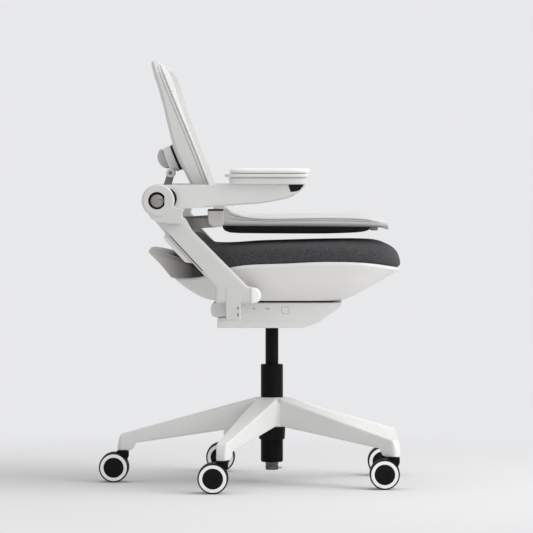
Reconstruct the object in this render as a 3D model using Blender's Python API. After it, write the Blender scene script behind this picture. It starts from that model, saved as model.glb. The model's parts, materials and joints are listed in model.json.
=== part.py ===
"""Folding office chair on a five-star caster base.

Metres, +Z up, +X the way the seat faces, Y across. The lift axis stands at x = frame_shift so that the
origin is the middle of the chair's footprint on the floor. Heights chain upward from the casters.
"""

import math

import bmesh
import bpy
import numpy as np
from mathutils import Matrix, Vector

# Clearances
FIT = 0.0003
RUN = 0.0010

# Casters
WHEEL_RADIUS = 0.0325
WHEEL_WIDTH = 0.018
WHEEL_STEPS = 20
CASTER_TRAIL = 0.0195
CASTER_BODY_THICKNESS = 0.015
CASTER_HEADROOM = 0.0044
TYRE_EDGE = 0.00374
RING_WIDTH = 0.0070
RING_DEPTH = 0.0025
AXLE_RADIUS = 0.004
STEM_RADIUS = 0.0055
STEM_LENGTH = 0.026

# Star base
LEG_COUNT = 5
STEM_CIRCLE_RADIUS = 0.322
HUB_RADIUS = 0.034
HUB_SKIRT = 0.0105
HUB_RISE = 0.053
HUB_HEIGHT = 0.062
LEG_TIP_HEIGHT = 0.037
LEG_TIP_REACH = 0.0115
LEG_ROOT_WIDTH = 0.054
LEG_TIP_WIDTH = 0.031

# Gas lift
TUBE_RADIUS = 0.024
TUBE_WALL = 0.002
TUBE_ABOVE_HUB = 0.069
TUBE_BELOW_HUB = 0.078
TUBE_FLOOR = 0.004
CYLINDER_RADIUS = 0.014
CYLINDER_WALL = 0.003
ROD_RADIUS = 0.005
ROD_CAP_RADIUS = 0.014
ROD_CAP_HEIGHT = 0.017
LIFT_EXPOSED = 0.085
LIFT_DOWN = 0.060
LIFT_UP = 0.030
BUSH_LENGTH = 0.045
COLLAR_WALL = 0.0052
COLLAR_HEIGHT = 0.029

# Mechanism under the seat
MECH_HALF_WIDTH = 0.120
MECH_HEIGHT = 0.054
MECH_REAR = 0.115
MECH_FRONT = 0.152
TORSION_RADIUS = 0.016
SEAT_PLATE_THICKNESS = 0.0034
BUTTON_WIDTH = 0.0152
BUTTON_HEIGHT = 0.0142
BUTTON_DEPTH = 0.008
BUTTON_TRAVEL = 0.003

# Seat
SEAT_LENGTH = 0.490
SEAT_FRONT = 0.278
SEAT_HALF_WIDTH = 0.232
SEAT_CORNER_POWER = 3.6
SEAT_RISE = 0.127
TUB_WALL = 0.004
TUB_BAND = 0.006
CUSHION_CROWN = 0.004
TAIL_REACH = 0.051
TAIL_POINTS = 4

# Back frame
ARM_GAP = 0.008
ARM_THICKNESS = 0.026
TRIM_WIDTH = 0.0105
PIVOT_BACK = 0.036
PIVOT_RISE = 0.016
PIVOT_BOSS_RADIUS = 0.017
PIVOT_PIN_RADIUS = 0.008
HUB_BACK = 0.198
HUB_UP = 0.199
HUB_DISC_RADIUS = 0.0345
HUB_DISC_THICKNESS = 0.0095
HUB_PIN_RADIUS = 0.009
HUB_HEAD_RADIUS = 0.019
CROSS_TUBE_RADIUS = 0.013

# Armrests
BEAM_THICKNESS = 0.027
BEAM_EYE_RADIUS = 0.033
BEAM_LENGTH = 0.3069
PAD_LENGTH = 0.175
PAD_WIDTH = 0.072
PAD_LAYER = 0.008
PAD_SETBACK = 0.012

# Folding backrest
FOLD_AHEAD = 0.1186
FOLD_BELOW = 0.037
FOLD_EYE_RADIUS = 0.0165
FOLD_PIN_RADIUS = 0.006
CUP_PROUD = 0.006
BACKREST_LENGTH = 0.3644
BACKREST_DEPTH = 0.024
BACKREST_SIDE_GAP = 0.011
BACKREST_PAD_BULGE = 0.015

# Upper back
UPPER_SIDE_GAP = 0.020
UPPER_RIM = 0.017
UPPER_LENGTH = 0.298
UPPER_THICKNESS = 0.0397
UPPER_LEAN = math.radians(22.6)
UPPER_BOW = 0.010
UPPER_CHAMFER = 0.002
UPPER_CHAMFER_WIDTH = 0.009
UPPER_SLANT = 0.45
TILT_AHEAD = 0.016
TILT_UP = 0.057
TILT_PIN_RADIUS = 0.004
STRUT_RADIUS = 0.0085
PUCK_RADIUS = 0.029
PUCK_THICKNESS = 0.024
PUCK_CAP_RADIUS = 0.021

# Heights that follow from the sizes above
axle_height = WHEEL_RADIUS * math.cos(math.pi / WHEEL_STEPS)
leg_tip_bottom = axle_height + WHEEL_RADIUS + CASTER_HEADROOM
hub_bottom = leg_tip_bottom + HUB_RISE
hub_top = hub_bottom + HUB_HEIGHT
tube_top = hub_top + TUBE_ABOVE_HUB
tube_bottom = hub_bottom - TUBE_BELOW_HUB
mech_bottom = tube_top + LIFT_EXPOSED
mech_top = mech_bottom + MECH_HEIGHT
seat_floor = mech_top + SEAT_PLATE_THICKNESS + 2 * FIT
pivot = (-PIVOT_BACK, seat_floor + PIVOT_RISE)
hub = (pivot[0] - HUB_BACK, pivot[1] + HUB_UP)
fold = (hub[0] + FOLD_AHEAD, hub[1] - FOLD_BELOW)
tilt = (hub[0] + TILT_AHEAD, hub[1] + TILT_UP)

# Places across the chair
arm_inner = SEAT_HALF_WIDTH + ARM_GAP
arm_outer = arm_inner + ARM_THICKNESS
eye_inner = arm_inner + HUB_DISC_THICKNESS + RUN / 2
eye_outer = eye_inner + BEAM_THICKNESS
disc_outer = eye_outer + RUN / 2 + HUB_DISC_THICKNESS
upper_half_width = arm_inner - UPPER_SIDE_GAP
backrest_half_width = upper_half_width - UPPER_RIM - BACKREST_SIDE_GAP

# Footprint
seat_centre = SEAT_FRONT - SEAT_LENGTH / 2
rear_reach = STEM_CIRCLE_RADIUS + CASTER_TRAIL + axle_height
frame_shift = (rear_reach - SEAT_FRONT) / 2

WHITE = (0.80, 0.80, 0.78)
GREY = (0.62, 0.62, 0.60)
TAUPE = (0.48, 0.45, 0.42)
BLACK = (0.025, 0.025, 0.027)
STEEL = (0.55, 0.54, 0.52)
FABRIC = (0.075, 0.077, 0.082)

for old in list(bpy.data.objects):
    bpy.data.objects.remove(old, do_unlink=True)

ASSEMBLY = bpy.data.objects.new("chair", None)
ASSEMBLY.location = (frame_shift, 0.0, 0.0)
bpy.context.collection.objects.link(ASSEMBLY)


def finish(name, colour, roughness=0.5, metallic=0.0):
    made = bpy.data.materials.new(name)
    made.use_nodes = True
    shader = made.node_tree.nodes["Principled BSDF"]
    shader.inputs["Base Color"].default_value = (*colour, 1.0)
    shader.inputs["Roughness"].default_value = roughness
    shader.inputs["Metallic"].default_value = metallic
    made.diffuse_color = (*colour, 1.0)
    return made


def put(name, bm, place):
    bmesh.ops.recalc_face_normals(bm, faces=bm.faces)
    bmesh.ops.translate(bm, verts=bm.verts, vec=-Vector(place))
    mesh = bpy.data.meshes.new(name)
    bm.to_mesh(mesh)
    bm.free()
    made = bpy.data.objects.new(name, mesh)
    made.location = place
    made.parent = ASSEMBLY
    bpy.context.collection.objects.link(made)
    return made


def piece(name, bm, colour, place=(0.0, 0.0, 0.0), roughness=0.5, metallic=0.0):
    made = put(name, bm, place)
    made.data.materials.append(finish(name, colour, roughness, metallic))
    return made


def combine(target, bm, operation):
    """Cut bm from target, or join it on, through a hidden helper object."""
    helper = put("tool_" + target.name, bm, (0.0, 0.0, 0.0))
    helper.hide_render = True
    helper.display_type = "WIRE"
    change = target.modifiers.new("combine", "BOOLEAN")
    change.operation = operation
    change.solver = "EXACT"
    change.object = helper


def soften(target, width, segments=2):
    edge = target.modifiers.new("edges", "BEVEL")
    edge.width = width
    edge.segments = segments
    edge.limit_method = "ANGLE"
    edge.angle_limit = math.radians(40)


def along_z(x, y, z=0.0):
    return Matrix.Translation((x, y, z))


def along_y(x, z, y=0.0):
    return Matrix.Translation((x, y, z)) @ Matrix.Rotation(-math.pi / 2, 4, "X")


def loft(loops, ring=False):
    """Skin closed loops of equal length; the ends are capped, or joined when ring is true."""
    bm = bmesh.new()
    rows = [[bm.verts.new(point) for point in loop] for loop in loops]
    pairs = list(zip(rows, rows[1:]))
    if ring:
        pairs.append((rows[-1], rows[0]))
    count = len(rows[0])
    for low, high in pairs:
        for k in range(count):
            n = (k + 1) % count
            bm.faces.new((low[k], low[n], high[n], high[k]))
    if not ring:
        bm.faces.new(rows[0])
        bm.faces.new(rows[-1])
    return bm


def turned(profile, steps, place, ring=False):
    """Turn (radius, height) points about place's local Z; flats face the four quarter points."""
    loops = []
    for radius, height in profile:
        angles = [math.pi / steps + 2 * math.pi * k / steps for k in range(steps)]
        loops.append([place @ Vector((radius * math.cos(a), radius * math.sin(a), height)) for a in angles])
    return loft(loops, ring)


def prism(outline, low, high):
    """Extrude an (x, z) outline across the chair from y = low to y = high."""
    return loft([[(x, low, z) for x, z in outline], [(x, high, z) for x, z in outline]])


def across(side, inner, outer):
    return (inner, outer) if side > 0 else (-outer, -inner)


def arc(centre, radius, first, last, steps):
    points = []
    for k in range(steps + 1):
        a = math.radians(first + (last - first) * k / steps)
        points.append((centre[0] + radius * math.cos(a), centre[1] + radius * math.sin(a)))
    return points


def link(first, first_radius, second, second_radius, steps=8):
    """Outline of a bar with a round end at each of two (x, z) points."""
    heading = math.degrees(math.atan2(second[1] - first[1], second[0] - first[0]))
    far = arc(second, second_radius, heading - 90, heading + 90, steps)
    return far + arc(first, first_radius, heading + 90, heading + 270, steps)


def curve(at, places, values):
    """Smooth curve through (places, values), read at one place."""
    places = np.asarray(places, dtype=float)
    values = np.asarray(values, dtype=float)
    slopes = np.gradient(values, places)
    at = min(max(at, places[0]), places[-1])
    k = int(min(np.searchsorted(places, at, side="right") - 1, len(places) - 2))
    span = places[k + 1] - places[k]
    t = (at - places[k]) / span
    rise = (1 + 2 * t) * (1 - t) ** 2 * values[k] + t * t * (3 - 2 * t) * values[k + 1]
    return float(rise + span * (t * (1 - t) ** 2 * slopes[k] - t * t * (1 - t) * slopes[k + 1]))


def slab(front, back):
    """Closed sheet between two equal grids of points."""
    bm = bmesh.new()
    rows, columns = len(front), len(front[0])
    a = [[bm.verts.new(p) for p in row] for row in front]
    b = [[bm.verts.new(p) for p in row] for row in back]
    for i in range(rows - 1):
        for j in range(columns - 1):
            bm.faces.new((a[i][j], a[i][j + 1], a[i + 1][j + 1], a[i + 1][j]))
            bm.faces.new((b[i][j], b[i + 1][j], b[i + 1][j + 1], b[i][j + 1]))
    rim = [(0, j) for j in range(columns)] + [(i, columns - 1) for i in range(1, rows)]
    rim += [(rows - 1, j) for j in range(columns - 2, -1, -1)] + [(i, 0) for i in range(rows - 2, 0, -1)]
    for (i, j), (m, n) in zip(rim, rim[1:] + rim[:1]):
        bm.faces.new((a[i][j], a[m][n], b[m][n], b[i][j]))
    return bm


def rounded(centre, half_length, half_width, power, count):
    """Plan outline between a box and an ellipse, as (x, y) points from the front round by +Y."""
    points = []
    for k in range(count):
        a = 2 * math.pi * k / count
        c, s = math.cos(a), math.sin(a)
        x = centre[0] + half_length * math.copysign(abs(c) ** (2 / power), c)
        y = centre[1] + half_width * math.copysign(abs(s) ** (2 / power), s)
        points.append((x, y))
    return points


# Star base
leg_root = TUBE_RADIUS - 0.004


def leg_loop(reach, heading):
    tip_start = STEM_CIRCLE_RADIUS - 0.022
    share = (reach - HUB_RADIUS) / (STEM_CIRCLE_RADIUS - HUB_RADIUS)
    half = LEG_ROOT_WIDTH / 2 + (LEG_TIP_WIDTH - LEG_ROOT_WIDTH) / 2 * max(0.0, min(1.0, share))
    half = min(half, leg_root * 0.6 + (reach - leg_root) * 0.7)
    top = hub_top - 0.001 - (hub_top - leg_tip_bottom - LEG_TIP_HEIGHT) * max(0.0, share)
    bottom = hub_bottom + 0.002 - (HUB_RISE - 0.010) * max(0.0, share)
    if reach > tip_start:
        bottom = leg_tip_bottom
    past = (reach - STEM_CIRCLE_RADIUS) / LEG_TIP_REACH
    if past > 0.0:
        half = half * math.sqrt(max(0.0, 1 - 0.62 * past * past))
        top = top - LEG_TIP_HEIGHT * 0.62 * past ** 3
    tall = top - bottom
    section = [(0.86, 0.0), (1.0, 0.12), (0.96, 0.88), (0.83, 1.0)]
    section = section + [(-w, h) for w, h in reversed(section)]
    turn = Matrix.Rotation(heading, 3, "Z")
    return [turn @ Vector((reach, half * w, bottom + tall * h)) for w, h in section]


stems = []
headings = [math.pi + 2 * math.pi * k / LEG_COUNT for k in range(LEG_COUNT)]
for heading in headings:
    stems.append((STEM_CIRCLE_RADIUS * math.cos(heading), STEM_CIRCLE_RADIUS * math.sin(heading)))

hub_profile = [(HUB_RADIUS + HUB_SKIRT - 0.004, hub_bottom), (HUB_RADIUS + HUB_SKIRT, hub_bottom + 0.004)]
hub_profile += [(HUB_RADIUS + HUB_SKIRT, hub_top - 0.012), (HUB_RADIUS - 0.004, hub_top)]
base = piece("base_star", turned(hub_profile, 24, along_z(0, 0)), WHITE, roughness=0.35)
tip = STEM_CIRCLE_RADIUS
reaches = [leg_root, HUB_RADIUS - 0.003, HUB_RADIUS + 0.012, tip * 0.55, tip - 0.026, tip - 0.0205, tip]
reaches += [tip + LEG_TIP_REACH * 0.6, tip + LEG_TIP_REACH]
for heading in headings:
    combine(base, loft([leg_loop(reach, heading) for reach in reaches]), "UNION")
bore = [(TUBE_RADIUS + FIT, hub_bottom - 0.02), (TUBE_RADIUS + FIT, hub_top + 0.02)]
combine(base, turned(bore, 24, along_z(0, 0)), "DIFFERENCE")
for x, y in stems:
    socket = [(STEM_RADIUS + FIT, leg_tip_bottom - 0.01), (STEM_RADIUS + FIT, leg_tip_bottom + STEM_LENGTH)]
    combine(base, turned(socket, 12, along_z(x, y)), "DIFFERENCE")

collar_outer = TUBE_RADIUS + FIT + COLLAR_WALL
collar_low = hub_bottom - FIT - COLLAR_HEIGHT
collar = [(TUBE_RADIUS + FIT, collar_low), (collar_outer - 0.003, collar_low)]
collar += [(collar_outer - 0.0012, collar_low + 0.004), (collar_outer, hub_bottom - FIT)]
collar += [(TUBE_RADIUS + FIT, hub_bottom - FIT)]
piece("hub_collar", turned(collar, 24, along_z(0, 0), ring=True), BLACK, roughness=0.45)

# Casters
body_top = leg_tip_bottom - RUN
half_body = CASTER_BODY_THICKNESS / 2
wheel_inner = half_body + RUN / 2
wheel_outer = wheel_inner + WHEEL_WIDTH
ring_outer = WHEEL_RADIUS - TYRE_EDGE
ring_inner = ring_outer - RING_WIDTH
for number, (x, y) in enumerate(stems, start=1):
    axle = (x - CASTER_TRAIL, axle_height)
    outline = [(x + 0.0125, body_top), (x - 0.011, body_top)]
    outline += [(axle[0] - 0.016, axle[1] + 0.020), (axle[0] - 0.0155, axle[1] - 0.004)]
    outline += [(axle[0] - 0.008, axle[1] - 0.014), (axle[0] + 0.006, axle[1] - 0.013)]
    outline += [(x - 0.004, axle[1] - 0.002), (x + 0.0085, axle[1] + 0.0145), (x + 0.0125, axle[1] + 0.024)]
    body = piece(
        f"caster_body_{number}", prism(outline, y - half_body, y + half_body), BLACK, (x, y, body_top), 0.4
    )
    stem = [(STEM_RADIUS, body_top - 0.01), (STEM_RADIUS, body_top + RUN + STEM_LENGTH - RUN - 0.002)]
    combine(body, turned(stem, 12, along_z(x, y)), "UNION")
    hole = [(AXLE_RADIUS + FIT, -0.03), (AXLE_RADIUS + FIT, 0.03)]
    combine(body, turned(hole, 12, along_y(*axle, y)), "DIFFERENCE")
    half = [(AXLE_RADIUS, wheel_inner), (WHEEL_RADIUS, wheel_inner), (WHEEL_RADIUS, wheel_outer - 0.0035)]
    half += [(ring_outer + FIT, wheel_outer)]
    half += [(ring_outer + FIT, wheel_outer - RING_DEPTH), (ring_inner - FIT, wheel_outer - RING_DEPTH)]
    half += [(ring_inner - FIT, wheel_outer), (ring_inner * 0.5, wheel_outer + 0.0012)]
    profile = [(r, -h) for r, h in reversed(half)] + half
    wheel_place = (axle[0], y, axle[1])
    wheels = turned(profile, WHEEL_STEPS, along_y(*axle, y))
    piece(f"caster_wheels_{number}", wheels, BLACK, wheel_place, 0.45)
    face = wheel_outer + 0.0002
    back = wheel_outer - RING_DEPTH + FIT
    for letter, way in (("a", -1), ("b", 1)):
        ring = [(ring_inner, way * back), (ring_outer, way * back)]
        ring += [(ring_outer, way * face), (ring_inner, way * face)]
        made = turned(ring, WHEEL_STEPS, along_y(*axle, y), ring=True)
        piece(f"wheel_ring_{number}{letter}", made, WHITE, wheel_place, 0.4)

# Gas lift
tube_in = TUBE_RADIUS - TUBE_WALL
tube = [(ROD_RADIUS + RUN, tube_bottom), (TUBE_RADIUS - 0.001, tube_bottom)]
tube += [(TUBE_RADIUS, tube_bottom + 0.003), (TUBE_RADIUS, tube_top), (tube_in, tube_top)]
tube += [(tube_in, tube_bottom + TUBE_FLOOR)]
tube += [(ROD_RADIUS + RUN, tube_bottom + TUBE_FLOOR)]
piece("lift_tube", turned(tube, 24, along_z(0, 0), ring=True), BLACK, roughness=0.35)

bush_low = tube_top - BUSH_LENGTH
bush_lip = tube_top + FIT
bush = [(CYLINDER_RADIUS + FIT, bush_low), (tube_in - FIT, bush_low), (tube_in - FIT, bush_lip)]
bush += [(TUBE_RADIUS, bush_lip), (TUBE_RADIUS - 0.0015, bush_lip + 0.002)]
bush += [(CYLINDER_RADIUS + FIT, bush_lip + 0.002)]
piece("lift_bush", turned(bush, 24, along_z(0, 0), ring=True), BLACK, roughness=0.5)

bearing_low = tube_bottom + TUBE_FLOOR + FIT
bearing_high = bearing_low + 0.007
bearing = [(ROD_RADIUS + RUN, bearing_low), (0.015, bearing_low)]
bearing += [(0.015, bearing_high), (ROD_RADIUS + RUN, bearing_high)]
piece("lift_bearing", turned(bearing, 12, along_z(0, 0), ring=True), STEEL, roughness=0.3, metallic=1.0)

cylinder_low = tube_bottom + TUBE_FLOOR + 0.042 + LIFT_DOWN
cylinder_high = mech_top - 0.006
bore_radius = CYLINDER_RADIUS - CYLINDER_WALL
rod_high = cylinder_low + LIFT_UP + 0.034
rod_low = tube_bottom - FIT - ROD_CAP_HEIGHT
shoulder = bearing_high + FIT
rod = [(ROD_CAP_RADIUS - 0.0015, rod_low), (ROD_CAP_RADIUS, rod_low + 0.0015)]
rod += [(ROD_CAP_RADIUS, tube_bottom - FIT), (ROD_RADIUS, tube_bottom - FIT), (ROD_RADIUS, shoulder)]
rod += [(0.012, shoulder), (0.012, shoulder + 0.004)]
rod += [(ROD_RADIUS, shoulder + 0.004), (ROD_RADIUS, rod_high - 0.012), (bore_radius - FIT, rod_high - 0.012)]
rod += [(bore_radius - FIT, rod_high)]
piece("piston_rod", turned(rod, 16, along_z(0, 0)), STEEL, roughness=0.3, metallic=0.9)

bore_high = rod_high + LIFT_DOWN + 0.004
seal = cylinder_low + 0.016
lift = [(ROD_RADIUS + FIT, cylinder_low), (CYLINDER_RADIUS, cylinder_low), (CYLINDER_RADIUS, cylinder_high)]
lift += [(0.003, cylinder_high), (0.003, bore_high), (bore_radius, bore_high), (bore_radius, seal)]
lift += [(ROD_RADIUS + FIT, seal)]
piece("gas_cylinder", turned(lift, 20, along_z(0, 0), ring=True), BLACK, roughness=0.2)

# Mechanism under the seat
step_x = -MECH_REAR + 0.019
step_z = mech_top - 2 * TORSION_RADIUS
shell = [(-MECH_REAR, mech_bottom), (MECH_FRONT - 0.082, mech_bottom)]
shell += [(MECH_FRONT - 0.047, mech_bottom + MECH_HEIGHT * 0.20)]
shell += [(MECH_FRONT - 0.013, mech_bottom + MECH_HEIGHT * 0.65)]
shell += [(MECH_FRONT - 0.001, mech_bottom + MECH_HEIGHT * 0.90), (MECH_FRONT, mech_top)]
shell += [(step_x, mech_top), (step_x, step_z), (-MECH_REAR, step_z)]
mech = piece("mech_housing", prism(shell, -MECH_HALF_WIDTH, MECH_HALF_WIDTH), WHITE, roughness=0.4)
soften(mech, 0.004)
socket = [(CYLINDER_RADIUS + FIT, mech_bottom - 0.02), (CYLINDER_RADIUS + FIT, cylinder_high + FIT)]
combine(mech, turned(socket, 20, along_z(0, 0)), "DIFFERENCE")

button_x = 0.0302
button_z = mech_bottom + MECH_HEIGHT * 0.70
pocket_w = BUTTON_WIDTH / 2 + FIT
pocket_h = BUTTON_HEIGHT / 2 + FIT
for name, side in (("height_button", -1), ("tilt_button", 1)):
    hollow = [(button_x - pocket_w, button_z - pocket_h), (button_x + pocket_w, button_z - pocket_h)]
    hollow += [(button_x + pocket_w, button_z + pocket_h), (button_x - pocket_w, button_z + pocket_h)]
    floor_y = MECH_HALF_WIDTH - BUTTON_DEPTH - BUTTON_TRAVEL - FIT
    combine(mech, prism(hollow, *across(side, floor_y, MECH_HALF_WIDTH + 0.02)), "DIFFERENCE")
    key = [(button_x - BUTTON_WIDTH / 2, button_z - BUTTON_HEIGHT / 2)]
    key += [(button_x + BUTTON_WIDTH / 2, button_z - BUTTON_HEIGHT / 2)]
    key += [(button_x + BUTTON_WIDTH / 2, button_z + BUTTON_HEIGHT / 2)]
    key += [(button_x - BUTTON_WIDTH / 2, button_z + BUTTON_HEIGHT / 2)]
    face_y = MECH_HALF_WIDTH + 0.0008
    made = prism(key, *across(side, MECH_HALF_WIDTH - BUTTON_DEPTH, face_y))
    soften(piece(name, made, WHITE, (button_x, side * face_y, button_z), 0.4), 0.0006)

torsion = (step_x - TORSION_RADIUS - FIT, step_z + TORSION_RADIUS + FIT)
ends = MECH_HALF_WIDTH - 0.004
roll = [(TORSION_RADIUS - 0.003, -ends), (TORSION_RADIUS, 0.003 - ends)]
roll += [(TORSION_RADIUS, ends - 0.003), (TORSION_RADIUS - 0.003, ends)]
piece("torsion_tube", turned(roll, 20, along_y(*torsion)), WHITE, roughness=0.45)

plate_low = mech_top + FIT
plate = rounded((0.025, 0.0), 0.100, MECH_HALF_WIDTH - 0.015, 8.0, 24)
plate_high = plate_low + SEAT_PLATE_THICKNESS
made = loft([[(x, y, plate_low) for x, y in plate], [(x, y, plate_high) for x, y in plate]])
piece("seat_plate", made, BLACK, roughness=0.5)


def box_loop(x_low, x_high, z_low, z_high, y):
    c = 0.004
    return [
        (x_low + c, y, z_low), (x_high - c, y, z_low), (x_high, y, z_low + c), (x_high, y, z_high - c),
        (x_high - c, y, z_high), (x_low + c, y, z_high), (x_low, y, z_high - c), (x_low, y, z_low + c),
    ]


for name, side in (("left", 1), ("right", -1)):
    root = side * (MECH_HALF_WIDTH + FIT)
    reach = arm_inner - MECH_HALF_WIDTH
    knee = side * (MECH_HALF_WIDTH + reach * 0.38)
    elbow = side * (MECH_HALF_WIDTH + reach * 0.58)
    wrist = side * (MECH_HALF_WIDTH + reach * 0.74)
    boss_low = pivot[1] - PIVOT_BOSS_RADIUS
    loops = [box_loop(pivot[0] - 0.061, pivot[0] - 0.033, mech_bottom + 0.022, mech_top - 0.004, root)]
    loops += [box_loop(pivot[0] - 0.060, pivot[0] - 0.032, mech_bottom + 0.028, seat_floor - 0.003, knee)]
    loops += [box_loop(pivot[0] - 0.056, pivot[0] - 0.027, boss_low, boss_low + 0.018, elbow)]
    loops += [box_loop(pivot[0] - 0.015, pivot[0] + 0.015, boss_low + 0.002, pivot[1] + 0.011, wrist)]
    made = piece("outrigger_" + name, loft(loops), GREY, (pivot[0], side * arm_inner, pivot[1]), 0.4)
    boss = [(PIVOT_BOSS_RADIUS - 0.001, abs(wrist) - 0.006), (PIVOT_BOSS_RADIUS - 0.001, arm_inner - RUN / 2)]
    boss += [(PIVOT_PIN_RADIUS, arm_inner - RUN / 2), (PIVOT_PIN_RADIUS, arm_outer - 0.005)]
    boss = [(r, side * h) for r, h in boss]
    combine(made, turned(boss, 16, along_y(*pivot)), "UNION")

# Seat
RIM_AT = (-1.0, -0.72, -0.49, 0.0, 0.376, 0.75, 0.935, 1.0)
RIM_RISE = (0.3937, 0.4331, 0.5748, 0.6457, 0.6740, 0.6378, 0.5748, 0.5433)
TOP_AT = (-1.0, -0.92, -0.83, -0.75, -0.70, -0.665, -0.64, -0.60, -0.2, 0.376, 0.637, 0.81, 0.92, 1.0)
TOP_RISE = (
    0.9134, 1.0551, 1.1260, 1.1120, 1.0940, 1.0240, 0.9640, 0.9440, 0.9620, 0.9921, 0.9984, 0.9937, 0.9567,
    0.9055,
)
SEAT_POINTS = 40


def seat_rim(x):
    return seat_floor + SEAT_RISE * curve((x - seat_centre) / (SEAT_LENGTH / 2), RIM_AT, RIM_RISE)


def seat_top(x):
    return seat_floor + SEAT_RISE * curve((x - seat_centre) / (SEAT_LENGTH / 2), TOP_AT, TOP_RISE)


def seat_outline(scale, shrink=0.0):
    half_length = SEAT_LENGTH / 2 * scale - shrink
    half_width = SEAT_HALF_WIDTH * scale - shrink
    return rounded((seat_centre, 0.0), half_length, half_width, SEAT_CORNER_POWER, SEAT_POINTS)


TUB_SCALE = 0.98
tub_floor_half = (MECH_REAR + MECH_FRONT) / 2 + 0.005
tub_floor_centre = (MECH_FRONT - MECH_REAR) / 2 - 0.005


def tub_loop(share, shrink, lift_floor, drop_rim):
    top = seat_outline(TUB_SCALE, shrink)
    half_width = MECH_HALF_WIDTH - shrink
    low = rounded((tub_floor_centre, 0.0), tub_floor_half - shrink, half_width, 5.0, SEAT_POINTS)
    loop = []
    for (xt, yt), (xl, yl) in zip(top, low):
        turn = math.atan2(yt / SEAT_HALF_WIDTH, (xt - seat_centre) / (SEAT_LENGTH / 2))
        power = 1.25 - 0.25 * math.cos(turn) + 1.0 * math.sin(turn) ** 2
        z_low = seat_floor + lift_floor
        z_top = seat_rim(xt) - drop_rim
        rise = share ** power
        loop.append((xl + (xt - xl) * share, yl + (yt - yl) * share, z_low + (z_top - z_low) * rise))
    return loop


shares = (0.0, 0.24, 0.48, 0.70, 0.87, 1.0)
loops = [tub_loop(share, 0.0, 0.0, TUB_BAND) for share in shares]
loops += [tub_loop(1.0, 0.0, 0.0, 0.0), tub_loop(1.0, TUB_WALL, TUB_WALL, 0.0)]
loops += [tub_loop(share, TUB_WALL, TUB_WALL, TUB_BAND) for share in (1.0, 0.5, 0.0)]
piece("seat_tub", loft(loops), WHITE, roughness=0.4)

CUSHION_RINGS = ((0.982, 0.0), (0.996, 0.10), (1.0, 0.26), (0.994, 0.46), (0.968, 0.70), (0.92, 0.86))
CUSHION_RINGS += ((0.86, 0.94), (0.80, 0.975), (0.73, 1.0), (0.66, 1.0), (0.30, 1.0))


def cushion_loop(scale, share, crown):
    loop = []
    for x, y in seat_outline(scale):
        low = seat_rim(x) + FIT
        loop.append((x, y, low + (seat_top(x) + crown - low) * share))
    return loop


loops = [cushion_loop(scale, 0.0, 0.0) for scale in (0.12, 0.6, 0.9)]
for scale, share in CUSHION_RINGS:
    loops.append(cushion_loop(scale, share, CUSHION_CROWN * (1 - scale)))
piece("seat_cushion", loft(loops), FABRIC, roughness=0.9)


rear = SEAT_POINTS // 2
tub_edge = seat_outline(TUB_SCALE)[rear - TAIL_POINTS : rear + TAIL_POINTS + 1]
cushion_edge = seat_outline(1.0)[rear - TAIL_POINTS : rear + TAIL_POINTS + 1]
tail = []
for (x, y), (cushion_x, cushion_y) in zip(tub_edge, cushion_edge):
    size = 0.16 + 0.84 * math.sqrt(max(0.0, 1 - (y / tub_edge[0][1]) ** 2))
    rim_x = x - FIT * 1.6
    edge_x = cushion_x - RUN * 2.6
    rim_z = seat_rim(x)
    reach = TAIL_REACH * size
    section = [(rim_x, rim_z - TUB_BAND), (rim_x, rim_z - FIT), (edge_x, rim_z + RUN)]
    section += [(edge_x, rim_z + 0.046 * size + 0.001), (edge_x - reach * 0.45, rim_z + 0.058 * size)]
    section += [(edge_x - reach * 0.88, rim_z + 0.062 * size), (edge_x - reach, rim_z + 0.053 * size)]
    section += [(edge_x - reach * 0.52, rim_z + 0.024 * size - 0.001)]
    section += [(edge_x - reach * 0.14, rim_z - TUB_BAND * 0.6)]
    tail.append([(px, y, pz) for px, pz in section])
piece("seat_tail", loft(tail), TAUPE, roughness=0.5)


def around(centre, offsets):
    return [(centre[0] + x, centre[1] + z) for x, z in offsets]


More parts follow.
